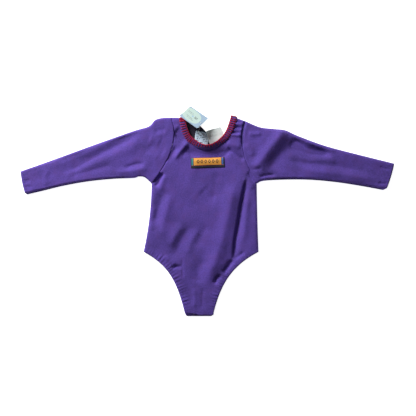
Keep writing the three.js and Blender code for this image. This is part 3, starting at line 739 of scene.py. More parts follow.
def gathered(name, parts):
    """One object made of many small closed shapes."""
    points, faces, offset = [], [], 0
    for p, f in parts:
        points.append(p)
        faces.extend(tuple(i + offset for i in face) for face in f)
        offset += len(p)
    return new_object(name, np.vstack(points), faces)


def lay_piece(name, outline, flat, faces, z, thickness, rests_on, **finish):
    """A piece cut to an outline in millimetres and laid at the heights z."""
    piece = new_object(name, np.column_stack([flat, z]) * MM, faces, flat * MM)
    thicken(piece, thickness)
    finish_piece(piece, **finish)
    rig.sheet(piece, flat=tuple((outline.max(0) - outline.min(0)) * MM), held="laid", rests_on=[rests_on],
             area=float(abs(signed_area(outline)) * MM * MM))
    return piece


def finish_piece(piece, body, nodes, slot, material):
    """Gives a piece its material and slot. It rides on a body, unless it is blended later."""
    piece.data.materials.clear()
    piece.data.materials.append(material)
    if body:
        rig.ride(piece, body)
    if nodes:
        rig.replaces(piece, *nodes)
    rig.slot(piece, slot)


# ---------------------------------------------------------------- materials
def linear(hex_colour, alpha=1.0):
    """sRGB hex to the linear colour that shaders take."""
    parts = [int(hex_colour[i:i + 2], 16) / 255 for i in (0, 2, 4)]
    return (*[c / 12.92 if c <= 0.04045 else ((c + 0.055) / 1.055) ** 2.4 for c in parts], alpha)


def add(tree, kind, *values, out=0, **settings):
    """Adds a node, sets it, and fills or links its sockets, in order or as a dict of them says.
    Gives back the output socket that out names."""
    node = tree.nodes.new("ShaderNode" + kind)
    for key, value in settings.items():
        setattr(node, key, value)
    sockets = values[0] if values and isinstance(values[0], dict) else dict(enumerate(values))
    for key, value in sockets.items():
        if isinstance(value, bpy.types.NodeSocket):
            tree.links.new(value, node.inputs[key])
        else:
            node.inputs[key].default_value = value
    return node.outputs[out]


def new_material(name, **shader):
    """A material with one Principled shader, whose own sockets hold what is the same all over."""
    material = bpy.data.materials.new(name)
    material.use_nodes = True
    tree = material.node_tree
    tree.nodes.clear()
    settings = {key.replace("_", " "): value for key, value in shader.items()}
    surface = add(tree, "BsdfPrincipled", settings)
    tree.links.new(surface, tree.nodes.new("ShaderNodeOutputMaterial").inputs["Surface"])
    return material, tree, surface.node


def place_on_cloth(tree):
    """Place on the cut cloth, across its wales and along them, in metres."""
    x = add(tree, "SeparateXYZ", add(tree, "UVMap", uv_map="cloth"))
    return x, x.node.outputs[1]


def painted(tree, below, *layers):
    """Lays colours over one another. Each layer is where it shows, from 0 to 1, and its colour."""
    for share, colour in layers:
        pair = [linear(c) if isinstance(c, str) else c for c in (below, colour)]
        below = add(tree, "Mix", {0: share, 6: pair[0], 7: pair[1]}, out=2, data_type="RGBA")
    return below


def clouded(tree, shade, colour, scale, detail=4.0, gain=1.6, level=-0.3):
    """A dye that wanders between a shade and a colour in soft clouds."""
    place = add(tree, "TexCoord", out="Object")
    cloud = add(tree, "TexNoise", {"Vector": place, "Scale": scale, "Detail": detail})
    return painted(tree, shade, (add(tree, "Math", cloud, gain, level, operation="MULTIPLY_ADD"), colour))


def boxed(tree, x, y, left, right, bottom, top):
    """1 inside a box, whose edges are in millimetres, and 0 outside it."""
    share = 1.0
    for value, edge, test in ((x, left, "GREATER_THAN"), (x, right, "LESS_THAN"),
                              (y, bottom, "GREATER_THAN"), (y, top, "LESS_THAN")):
        past = add(tree, "Math", value, edge * MM, operation=test)
        share = add(tree, "Math", past, share, operation="MULTIPLY")
    return share


def surfaced(shader, colour, height, strength, distance):
    """Links a colour and a relief to a shader. The relief's distance is in metres."""
    tree = shader.id_data
    tree.links.new(colour, shader.inputs["Base Color"])
    bump = add(tree, "Bump", {"Height": height, "Strength": strength, "Distance": distance})
    tree.links.new(bump, shader.inputs["Normal"])


def jersey(name, colour, wale, dark=0.55, light=1.25, sheen=0.35):
    """Brushed cotton jersey, knitted in columns of V-shaped stitches, with a soft bloom of hairs that catches light at
    the edges of folds.
    Its dye is a little uneven and here and there ruddy, and shade is painted into the hollows between the stitches."""
    material, tree, shader = new_material(
        name, Roughness=0.88, Sheen_Weight=sheen, Sheen_Roughness=0.45, Sheen_Tint=linear("9a86e0"),
        Specular_IOR_Level=0.25)
    x, y = place_on_cloth(tree)
    column = add(tree, "Math", x, wale, operation="DIVIDE")
    row = add(tree, "Math", y, wale * 0.8, operation="DIVIDE")
    ridge = add(tree, "Math", add(tree, "Math", column, 0.5, operation="PINGPONG"), 2.0, operation="MULTIPLY")
    slanted = add(tree, "Math", ridge, 0.9, row, operation="MULTIPLY_ADD")
    turn = add(tree, "Math", slanted, 2 * math.pi, operation="MULTIPLY")
    stitch = add(tree, "Math", add(tree, "Math", turn, operation="SINE"), 0.5, 0.5, operation="MULTIPLY_ADD")
    raised = add(tree, "Math", stitch, 0.55, 0.45, operation="MULTIPLY_ADD")
    relief = add(tree, "Math", add(tree, "Math", ridge, 0.6, operation="POWER"), raised, operation="MULTIPLY")
    place = add(tree, "TexCoord", out="Object")
    patches, hairs, flecks, rubbed = [
        add(tree, "TexNoise", {"Vector": place, "Scale": scale, "Detail": detail})
        for scale, detail in ((24.0, 5.0), (1400.0, 3.0), (330.0, 3.0), (55.0, 6.0))]
    base = np.array(linear(colour))
    # deep is the painted shade colour of the hollows between the stitches
    deep = (*(base[:3] * dark), 1)
    bright = (*np.minimum(base[:3] * light, 1), 1)
    fine = add(tree, "Math", flecks, 0.55, operation="MULTIPLY")
    tone = add(tree, "Math", patches, 0.45, fine, operation="MULTIPLY_ADD")
    ruddy = add(tree, "Clamp", add(tree, "Math", rubbed, 4.0, -1.9, operation="MULTIPLY_ADD"))
    cloth = painted(
        tree, tuple(base * (0.70, 0.68, 0.72, 1)),
        (add(tree, "Math", tone, 4.2, -1.6, operation="MULTIPLY_ADD"), bright),
        (add(tree, "Math", ruddy, 0.5, operation="MULTIPLY"), tuple(base * (1.25, 0.9, 0.86, 1))),
        # painted shade: darker where the stitch relief is low, between the stitches
        (add(tree, "Math", relief, -0.42, 0.42, operation="MULTIPLY_ADD"), deep),
        (add(tree, "Math", hairs, 0.10, operation="MULTIPLY"), "b6a6e6"))
    surfaced(shader, cloth, add(tree, "Math", hairs, 0.5, relief, operation="MULTIPLY_ADD"), 0.55, 0.00025)
    return material


def spun_yarn(name, colour, shade, twist=900.0):
    """Soft acrylic yarn of two plies, with shade painted along its twist in slanting darker lines, and with stray
    hairs.
    """
    material, tree, shader = new_material(
        name, Roughness=0.8, Sheen_Weight=0.45, Sheen_Roughness=0.4, Sheen_Tint=linear("e890a8"),
        Specular_IOR_Level=0.3)
    place = add(tree, "TexCoord", out="Object")
    wave = add(tree, "TexWave", {"Vector": place, "Scale": twist, "Distortion": 3.0, "Detail": 2.0},
               out=1, bands_direction="DIAGONAL")
    # painted shade in the grooves of the twist
    hollows = add(tree, "Math", wave, -0.3, 0.3, operation="MULTIPLY_ADD")
    tone = painted(tree, clouded(tree, shade, colour, 260.0, gain=1.8, level=-0.4), (hollows, shade))
    surfaced(shader, tone, wave, 0.5, 0.0002)
    return material


def woven(name, colour, shade, thread=0.0004):
    """A plain weave of filament threads, so that it shines a little along the threads."""
    material, tree, shader = new_material(name, Roughness=0.6, Sheen_Weight=0.1, Specular_IOR_Level=0.4)
    x = add(tree, "SeparateXYZ", add(tree, "TexCoord", out="Object"))
    rows = [add(tree, "Math", add(tree, "Math", along, thread, operation="DIVIDE"), 1.0, operation="PINGPONG")
            for along in (x, x.node.outputs[1])]
    relief = add(tree, "Math", *rows, operation="MAXIMUM")
    surfaced(shader, clouded(tree, shade, colour, 120.0), relief, 0.35, 0.00012)
    return material


def plated(name):
    """Nickel-plated brass, stamped and tumbled, with fine scuffs that break up its shine."""
    material, tree, shader = new_material(name, Metallic=1.0)
    tone = clouded(tree, "8d8878", "c3bda8", 900.0, 6.0, 1.0, 0.0)
    tree.links.new(tone, shader.inputs["Base Color"])
    place = add(tree, "TexCoord", out="Object")
    scuffs = add(tree, "TexNoise", {"Vector": place, "Scale": 900.0, "Detail": 6.0})
    dulled = add(tree, "Math", scuffs, 0.35, 0.14, operation="MULTIPLY_ADD")
    tree.links.new(dulled, shader.inputs["Roughness"])
    return material


def clear_nylon(name):
    """Moulded clear nylon: milky, glossy and a little see-through."""
    material, tree, shader = new_material(
        name, Roughness=0.22, IOR=1.53, Transmission_Weight=0.55, Subsurface_Weight=0.1)
    tone = clouded(tree, "dfe4e2", "f6f7f5", 400.0, 2.0, 1.0, 0.0)
    tree.links.new(tone, shader.inputs["Base Color"])
    return material


MATERIALS = {}


def material_for(key):
    """Makes each material once, when it is first asked for."""
    wale = sizes().wale_width
    makers = {
        "jersey": lambda: jersey("brushed_jersey", sizes().jersey_colour, wale),
        "jersey_inside": lambda: jersey("jersey_turned_hem", sizes().jersey_colour, wale, sheen=0.2),
        "band": lambda: jersey("jersey_binding", "56409a", wale * 0.9),
        # painted shade: a near-black knit that stands for the deep shade inside the back neck
        "facing": lambda: jersey("near_black_knit_facing", "140f10", wale, light=1.6, sheen=0.08),
        "yarn": lambda: spun_yarn("crimson_two_ply_yarn", sizes().yarn_colour, "86102f"),
        "thread": lambda: woven("violet_polyester_thread", "5f4ba8", "3a2a72", 0.0003),
        "elastic": lambda: woven("covered_rubber_elastic", "e9e6de", "c9c4b8", 0.0006),
        "nickel": lambda: plated("nickel_plated_brass"),
        "clear": lambda: clear_nylon("clear_moulded_nylon"),
    }
    if key not in MATERIALS:
        MATERIALS[key] = makers[key]()
    return MATERIALS[key]


# ---------------------------------------------------------------- body panels
class LEOTARD_OT_body_panels(bpy.types.Operator):
    """Lays the back panel flat and the front panel over it in soft folds"""

    bl_idname = "leotard.body_panels"
    bl_label = "Body panels"

    def execute(self, context):
        thick = sizes().cloth_thickness
        step = sizes().mesh_step / MM
        for name, front, edges, nodes in (
            ("front_cloth", True, front_edges(), ("front_panel", "front_crotch_placket")),
            ("back_cloth", False, panel_outline(back_neck_line(), BACK_HEM + PLACKET + 0.3), ("back_panel",)),
        ):
            outline = joined_outline(edges, 2.1)
            flat, faces = filled(outline, step if front else step * 1.5)
            z = body_height(flat, edges, front)
            piece = lay_piece(name, outline, flat, faces, z, thick, "back_cloth" if front else "studio_floor",
                              body=None if front else "garment", nodes=nodes, slot="jersey",
                              material=material_for("jersey"))
            if front:
                hinge = (FRONT_HEM + PLACKET) * MM
                middle, level = TAB_MIDDLE
                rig.blend(piece, "garment", "crotch_flap",
                         start=(middle, hinge + 0.003, level), end=(middle, hinge - 0.005, level))
        return {"FINISHED"}


class LEOTARD_OT_plackets(bpy.types.Operator):
    """Folds the two strips of the crotch tab that carry the snaps"""

    bl_idname = "leotard.plackets"
    bl_label = "Crotch plackets"

    def execute(self, context):
        thick = sizes().cloth_thickness
        columns = 34
        legs = {name: leg_line(name) for name in SIDES}

        def width_at(y):
            return [np.interp(-y, -legs[name][:, 1], legs[name][:, 0]) for name in ("right", "left")]

        def strip(name, profile, body, nodes, length):
            profile = stepped(np.asarray(profile, float), 1.1)
            rows = []
            for y, z in profile:
                right, left = width_at(max(y, -247.0))
                corner = max(0.0, (-246.5 - y)) ** 1.5 * 0.9
                xs = np.linspace(right + corner + 0.4, left - corner - 0.4, columns)
                wave = 0.18 * np.sin(xs / 5.2 + y / 9)
                rows.append(np.column_stack([xs, np.full(columns, y), z + wave]))
            points = np.vstack(rows)
            faces = grid_faces(len(rows), columns)
            along = np.repeat(lengths_along(profile), columns)
            piece = new_object(name, points * MM, faces, np.column_stack([points[:, 0], along]) * MM)
            thicken(piece, thick * 0.8)
            finish_piece(piece, body, nodes, "jersey", material_for("jersey_inside"))
            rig.sheet(piece, flat=(0.082, length * MM), held="folded", rests_on=["back_cloth"],
                     area=0.00082 * length * 0.086)

        bend = [(-249.3, 0.9), (-249.7, 1.5), (-249.3, 2.2)]
        strip("back_placket_cloth", [(-227.8, 0.55), (-248.4, 0.6), *bend, (-248.4, 2.55), (-228.2, 2.6)],
              "garment", ("back_crotch_placket",), 45)
        strip("front_placket_facing", [(-244.0, 7.3), (-243.0, 6.7), (-224.6, 6.6)],
              "crotch_flap", (), 21)
        return {"FINISHED"}


# ---------------------------------------------------------------- sleeves
SLEEVE_FOLD_LIMIT = -6.2
SLEEVE_ROWS = 150
SLEEVE_COLUMNS = 60
FOLD_TURN = 32


def coons(name):
    """A grid of plan points over a sleeve: down from the armhole to the cuff, across from under to top."""
    top, under = [evenly(line, SLEEVE_ROWS) for line in sleeve_lines(name)]
    head = evenly(armhole_line(name)[::-1], SLEEVE_COLUMNS)
    head = head - leftward(head) * 0.25 * SIDES[name]
    cuff = evenly(np.array([under[-1], top[-1]]), SLEEVE_COLUMNS)
    cuff[:, 0] += np.sin(np.linspace(0, math.pi, SLEEVE_COLUMNS)) * 1.6 * SIDES[name]
    s = np.linspace(0, 1, SLEEVE_ROWS)[:, None, None]
    t = np.linspace(0, 1, SLEEVE_COLUMNS)[None, :, None]
    ruled_t = (1 - t) * under[:, None, :] + t * top[:, None, :]
    ruled_s = (1 - s) * head[None, :, :] + s * cuff[None, :, :]
    corners = ((1 - s) * ((1 - t) * head[0] + t * head[-1])
               + s * ((1 - t) * cuff[0] + t * cuff[-1]))
    return rounded_corner(ruled_t + ruled_s - corners, CUFF_CORNER[name])


def rounded_corner(grid, radius):
    """Rounds the corner where a sleeve's under edge meets its cuff."""
    corner = grid[-1, 0].copy()
    inward = grid[-12, 0] - corner
    upward = grid[-1, 12] - corner
    basis = np.stack([inward / np.linalg.norm(inward), upward / np.linalg.norm(upward)], 1)
    local = (grid.reshape(-1, 2) - corner) @ np.linalg.inv(basis).T
    from_disc = radius - local
    near = (from_disc[:, 0] > 0) & (from_disc[:, 1] > 0)
    scale = from_disc[near].max(1) / np.hypot(*from_disc[near].T)
    local[near] = radius - from_disc[near] * scale[:, None]
    return (local @ basis.T + corner).reshape(grid.shape)


def sleeve_heights(grid, name, front):
    """Height of the middle of the cloth. Under the sleeve the back layer shows as a narrow ledge."""
    xy = grid.reshape(-1, 2)
    rows, columns = grid.shape[:2]
    width = np.linalg.norm(grid[:, -1] - grid[:, 0], axis=1)[:, None]
    s = np.linspace(0, 1, rows)[:, None]
    t = np.linspace(0, 1, columns)[None, :]
    under, top = t * width, (1 - t) * width
    ledge = smooth((s - LEDGE_START[name]) / 0.1)
    under_level = SEAM_LEVEL - 2.7 * ledge
    from_edge = np.minimum(under, top)
    head_distance, head_place, _ = nearest(armhole_line(name), xy)
    head_distance = head_distance.reshape(rows, columns)
    head_place = head_place.reshape(rows, columns) if name == "left" else np.ones((rows, columns))
    dip = seam_dip(head_distance, head_place) * np.clip(from_edge / 4, 0, 1)
    cuff_distance = np.linalg.norm(grid[-1][None] - grid, axis=2)
    if front:
        folds = lay_of_cloth(xy, SLEEVE_FOLDS[name], 41 + SIDES[name]).reshape(rows, columns)
        folds = np.maximum(folds, SLEEVE_FOLD_LIMIT)
        hold = smooth((from_edge - 1.5 * ledge) / np.where(under < top, 11, 6))
        hold = hold * (0.25 + 0.75 * smooth(head_distance / 12))
        hold = hold * (0.35 + 0.65 * smooth(cuff_distance / 20))
        wave = np.sin(2 * math.pi * t * width / 7.0 + 2 * np.sin(t * 9))
        hem = 0.5 * np.exp(-(((cuff_distance - 8) / 0.9) ** 2))
        gather = 0.22 * wave * np.exp(-((cuff_distance / 14) ** 2))
        near_under = under_level + (FRONT_LEVEL - under_level) * elliptic((under - 2.3 * ledge) / 5)
        near_top = SEAM_LEVEL + (FRONT_LEVEL - SEAM_LEVEL) * elliptic(top / 6)
        inner = np.clip((from_edge - 2.3 * ledge) / 6, 0, 1)
        z = np.minimum(near_under, near_top) + folds * hold - dip - (hem - gather) * inner
        return np.maximum(z, under_level * (1 - inner) + 1.9 * inner)
    ripple = 0.25 * rippled(xy, 40, 61 + SIDES[name]).reshape(rows, columns) * smooth(from_edge / 12)
    near_under = under_level + (BACK_LEVEL - under_level) * elliptic(under / (6 - 3 * ledge))
    near_top = SEAM_LEVEL + (BACK_LEVEL - SEAM_LEVEL) * elliptic(top / 6)
    return np.maximum(np.maximum(near_under, near_top) + ripple, 0.5)


def fold_at_shoulder(name):
    """Where a sleeve's cloth starts to turn over at the shoulder, and where it has turned."""
    shoulder, underarm = np.array(SHOULDER[name], float), np.array(UNDERARM[name], float)
    chord = shoulder - underarm
    outward = np.array([chord[1], -chord[0]]) / np.linalg.norm(chord)
    outward = outward * SIDES[name] * np.sign(outward[0])
    middle = (shoulder + underarm) / 2
    far = middle + outward * FOLD_TURN
    return {"start": (*(middle * MM), 0.009), "end": (*(far * MM), 0.009)}


class LEOTARD_OT_sleeves(bpy.types.Operator):
    """Makes each sleeve as one flattened tube with its cuff turned in"""

    bl_idname = "leotard.sleeves"
    bl_label = "Sleeves"

    def execute(self, context):
        thick = sizes().cloth_thickness
        for name, side in SIDES.items():
            grid = coons(name)
            # points crowd towards the sleeve's two edges, where the cloth turns round
            edge = np.linspace(0, 1, SLEEVE_COLUMNS)
            crowd = edge + 0.085 * np.sin(-2 * math.pi * edge) * np.abs(np.cos(math.pi * edge))
            front, back = [
                np.dstack([[np.interp(crowd, edge, row) for row in layer]
                           for layer in (grid[:, :, 0], grid[:, :, 1], sleeve_heights(grid, name, upper))])
                for upper in (True, False)]
            ring = np.concatenate([front, back[:, -2:0:-1]], axis=1)
            # the cuff's hem, turned back inside the sleeve
            centre = ring[-1].mean(0)
            middle = (ring[-1, :, 2].max() + ring[-1, :, 2].min()) / 2
            across_cuff = (grid[-1, -1] - grid[-1, 0]) / np.linalg.norm(grid[-1, -1] - grid[-1, 0])
            inner = []
            for inset, reach in ((0.55, 0.15), (1.05, 1.0), (1.15, 4.0), (1.15, 8.0)):
                row = ring[-1].copy()
                row[:, 2] += np.clip((middle - row[:, 2]) / 3, -1, 1) * inset
                shift = np.clip((centre - row)[:, :2] @ across_cuff, -inset, inset)
                row[:, :2] += shift[:, None] * across_cuff
                row[:, 0] -= side * reach
                inner.append(row)
            ring = np.concatenate([ring, np.stack(inner)], axis=0)
            rows, columns = ring.shape[:2]
            faces = grid_faces(rows, columns, columns_close=True)
            if side > 0:
                faces = [tuple(reversed(f)) for f in faces]
            steps = np.linalg.norm(np.diff(ring, axis=1, append=ring[:, :1]), axis=2)
            around = np.cumsum(steps, axis=1) - steps
            down = np.concatenate([[0], np.cumsum(np.linalg.norm(np.diff(ring.mean(1), axis=0), axis=1))])
            uv = np.dstack([around, np.repeat(down[:, None], columns, 1)]).reshape(-1, 2)
            piece = new_object(f"{name}_sleeve_cloth", ring.reshape(-1, 3) * MM, faces, uv * MM)
            thicken(piece, thick)
            finish_piece(piece, None, (f"{name}_sleeve", f"{name}_cuff_hem"), "jersey",
                         material_for("jersey"))
            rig.blend(piece, "garment", f"{name}_sleeve", **fold_at_shoulder(name))
            girth = float(steps.sum(1).max())
            length = float(down[-1])
            area = float((steps.sum(1)[:-1] * np.diff(down)).sum())
            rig.sheet(piece, flat=(girth * MM, length * MM), held="laid", rests_on=["studio_floor"],
                     area=min(area, girth * length) * MM * MM)
        return {"FINISHED"}


# ---------------------------------------------------------------- the neck
# how the yarn is whipped on from a place along the front onwards, from 0 to 1: its pitch and slant
# in millimetres. Near the wearer's left shoulder it goes to and fro and crosses itself.
CROSSED_PITCH = 2.7
WHIPPING = ((0.66, CROSSED_PITCH, 5.2), (0.36, 7.0, 0.9), (0.2, 4.9, 1.0), (0.04, 6.0, 0.6), (0.0, 2.1, 0.2))
BAND_HEIGHT = 3.1
# below this height and short of the shoulders, the band is the back's, which takes the near-black painted shade of the
# inside of the neck
BACK_BAND_TOP = 0.0046
BACK_BAND_END = 0.2455


def neck_loop(step=2.2):
    """The middle of the neck binding right round, with the directions across and out of the band."""
    half = BAND_WIDTH / 2
    rows = []
    for line, level, forward in ((front_neck_line(), 8.9, True), (back_neck_line(), 1.7, False)):
        across = leftward(line)
        middle = line - across * half
        wobble = 0.35 * np.sin(np.linspace(0, 17, len(line)))
        rows.append((np.column_stack([middle, level + wobble * forward]), across))
    (front, front_across), (back, back_across) = rows

    def turn(a, b, across_a, across_b):
        out = []
        for angle in np.linspace(0, math.pi, 9)[1:-1]:
            share = (1 - math.cos(angle)) / 2
            plan = a[:2] * (1 - share) + b[:2] * share
            z = a[2] * (1 - share) + b[2] * share
            out.append([plan[0], plan[1] + 3.0 * math.sin(angle), z])
        share = np.linspace(0, 1, 9)[1:-1, None]
        mixed_across = across_a * (1 - share) + across_b * share
        return np.array(out), mixed_across

    left_turn, left_across = turn(front[-1], back[-1], front_across[-1], back_across[-1])
    right_turn, right_across = turn(back[0], front[0], back_across[0], front_across[0])
    path = np.vstack([front, left_turn, back[::-1], right_turn])
    across = np.vstack([front_across, left_across, back_across[::-1], right_across])
    along = lengths_along(np.vstack([path, path[:1]]))
    count = int(along[-1] / step)
    at = np.linspace(0, along[-1], count, endpoint=False)
    path, across = [
        np.stack([np.interp(at, along, np.append(column, column[0])) for column in line.T], 1)
        for line in (path, across)]
    across = np.column_stack([across, np.zeros(len(across))])
    tangent = np.roll(path, -1, 0) - np.roll(path, 1, 0)
    tangent /= np.linalg.norm(tangent, axis=1)[:, None]
    across -= tangent * (across * tangent).sum(1)[:, None]
    across /= np.linalg.norm(across, axis=1)[:, None]
    up = np.cross(tangent, across)
    front_length = along[len(front) - 1]
    path[:, 2] += BAND_LIFT * band_roll(path[:, 0]) * (at < front_length)
    roll = (BAND_ROLL * band_roll(path[:, 0]) * (at < front_length))[:, None]
    rolled = across * np.cos(roll) + up * np.sin(roll)
    up = up * np.cos(roll) - across * np.sin(roll)
    across = rolled
    return path, across, up, at, front_length


def round_band(angle):
    """Across and up shares of a point on the band's section, which is a flattened round."""
    x, z = np.cos(angle), np.sin(angle)
    return np.sign(x) * np.abs(x) ** 0.75, np.sign(z) * np.abs(z) ** 0.6


def band_section(count=26):
    """A flattened roll, a little fuller at the rim than where it is sewn on."""
    x, z = round_band(np.linspace(0, 2 * math.pi, count, endpoint=False))
    return np.stack([x * BAND_WIDTH / 2, z * (1 + 0.12 * x) * BAND_HEIGHT / 2], 1)


class LEOTARD_OT_neck_binding(bpy.types.Operator):
    """Rolls the binding round the neck and whips it with crimson yarn"""

    bl_idname = "leotard.neck_binding"
    bl_label = "Neck binding and yarn"

    def execute(self, context):
        path, across, up, at, front_length = neck_loop()
        section = band_section()
        points, faces = swept(path, across, up, section, closed_path=True)
        girth = lengths_along(np.vstack([section, section[:1]]))
        uv = np.dstack([np.repeat(at[:, None], len(section), 1),
                        np.repeat(girth[None, :-1], len(path), 0)]).reshape(-1, 2)
        band = new_object("neck_band_cloth", points * MM, faces, uv * MM)
        apply_modifier(band, "SUBSURF", levels=1, render_levels=1)
        finish_piece(band, "garment", ("neck_binding",), "jersey_band", material_for("band"))
        # the back's part of the band takes the near-black painted shade
        band.data.materials.append(material_for("facing"))
        for face in band.data.polygons:
            x, y, z = face.center
            face.material_index = int(z < BACK_BAND_TOP and y < BACK_BAND_END)
        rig.padded(band, fill=0.5)

        flat_tape = np.array([(4.2, 0), (3.6, 0.5), (-3.6, 0.5), (-4.2, 0), (-3.6, -0.5), (3.6, -0.5)])
        points, faces = swept(path, across, up, flat_tape, closed_path=True)
        tape = new_object("neck_elastic_tape", points * MM, faces)
        finish_piece(tape, "garment", ("neck_elastic",), "elastic", material_for("elastic"))

        radius = sizes().yarn_radius / MM
        total = at[-1] + (at[1] - at[0])
        parts = []
        random = np.random.default_rng(5)

        def station(s):
            """The band's middle, and its directions across and up, at a length along it."""
            return [np.array([np.interp(s % total, at, column) for column in line.T])
                    for line in (path, across, up)]

        def add_strand(strand, strand_radius):
            strand = np.array(strand)
            strand[:, 2] = np.maximum(strand[:, 2], strand_radius)
            parts.append(tube(strand, strand_radius, 7))

        def wrap(s, slant, start, end, extra=0.0):
            """A strand over the band, from one angle round its section to another."""
            strand = []
            for angle in np.linspace(start, end, 18):
                share = (angle - start) / (end - start)
                centre, a, u = station(s + slant * (share - 0.5))
                x, z = round_band(angle)
                grown_x = BAND_WIDTH / 2 + radius * 0.6
                grown_z = 1.6 + radius * 0.7 + extra - 1.4 * (1 - smooth(share / 0.12))
                strand.append(centre + a * x * grown_x + u * z * grown_z)
            add_strand(strand, radius * random.uniform(0.85, 1.12))

        s = 1.5
        crossing = 1
        while s < total - 1.5:
            if front_length + 9 < s < total - 9:
                pitch, slant = 6.2, 0.6
                on_back = True
            else:
                u = s / front_length
                pitch, slant = next(row[1:] for row in WHIPPING if u > row[0])
                on_back = False
            if pitch == CROSSED_PITCH:
                slant *= crossing
                crossing = -crossing
            s_here = s + random.uniform(-0.3, 0.3)
            if on_back:
                wrap(s_here, slant, math.pi * random.uniform(0.86, 0.93), math.pi * 0.12, -0.9)
            else:
                sewn = random.uniform(0.84, 0.93) - 0.4 * float(band_roll(station(s_here)[0][0]))
                wrap(s_here, slant, math.pi * sewn, -math.pi * 0.78)
            s += pitch

        for ply in (0, math.pi):
            strand = []
            for s in np.arange(0, total + 0.01, 0.8):
                centre, a, u = station(s)
                turn = s * 2 * math.pi / 5.2 + ply
                inside_out = smooth((s - front_length - 6) / 6) * smooth((total - 6 - s) / 6)
                lift = 0.45 + 0.5 * inside_out
                strand.append(centre + a * (BAND_WIDTH / 2 + 0.25 - 2.4 * inside_out + 0.45 * math.cos(turn))
                              + u * (lift + (0.75 - 0.5 * inside_out) * math.sin(turn)))
            add_strand(strand, radius * 0.9)
        parts = [(p * MM, f) for p, f in parts]
        yarn = gathered("neck_whip_yarn", parts)
        finish_piece(yarn, "garment", ("neck_stitch_yarn",), "yarn", material_for("yarn"))
        return {"FINISHED"}


class LEOTARD_OT_neck_painted_shade(bpy.types.Operator):
    """Lays a near-black half-moon sheet inside the back, as painted shade for the dark inside of the neck"""

    bl_idname = "leotard.neck_facing"
    bl_label = "Back neck painted shade"

    def execute(self, context):
        neck = back_neck_line()
        upper = (neck - leftward(neck) * (BAND_WIDTH - 3))[3:-8]
        dip = bezier([upper[-1] + (4, 0), (upper[-1][0] + 2, 78), (upper[0][0] - 12, 78),
                      upper[0] - (9, 0)], 70)
        outline = np.vstack([stepped(upper, 2.4)[:-1], stepped(dip, 2.4)[:-1]])
        flat, faces = filled(outline, 4.0, rings=(1.5,))
        z = 1.75 + 0.22 * rippled(flat, 24, 77)
        # the near-black sheet is painted shade for the dark inside of the back neck
        lay_piece("neck_facing_cloth", outline, flat, faces, z, 0.0006, "back_cloth", body="garment",
                  nodes=("back_neck_facing",), slot="facing", material=material_for("facing"))
        return {"FINISHED"}


# ---------------------------------------------------------------- patch and labels
HOLE_RADIUS = 1.0


def laid_strip(name, centre, turn, width, length, height, step=1.2, corner=1.0, hole=None):
    """A small flat piece of cloth. height gives metres above the floor for plan points in millimetres."""
    across = int(width / step) + 1
    down = int(length / step) + 1
    u = np.linspace(-width / 2, width / 2, across)
    v = np.linspace(-length / 2, length / 2, down)
    local = np.array([(a, b) for b in v for a in u])
    near_x = np.clip(np.abs(local[:, 0]) - (width / 2 - corner), 0, None)
    near_y = np.clip(np.abs(local[:, 1]) - (length / 2 - corner), 0, None)
    both = (near_x > 0) & (near_y > 0)
    reach = np.maximum(np.hypot(near_x, near_y), 1e-6)
    shrink = np.where(both & (reach > corner), corner / reach, 1)
    local[:, 0] -= np.sign(local[:, 0]) * near_x * (1 - shrink)
    local[:, 1] -= np.sign(local[:, 1]) * near_y * (1 - shrink)
    angle = math.radians(turn)
    spun = local @ np.array([[math.cos(angle), math.sin(angle)], [-math.sin(angle), math.cos(angle)]])
    plan = spun + centre
    points = np.column_stack([plan * MM, height(plan, local)])
    faces = grid_faces(down, across)
    if hole is not None:
        faces = [face for face in faces if np.linalg.norm(plan[list(face)].mean(0) - hole) >= HOLE_RADIUS]
    return new_object(name, points, faces, local * MM)


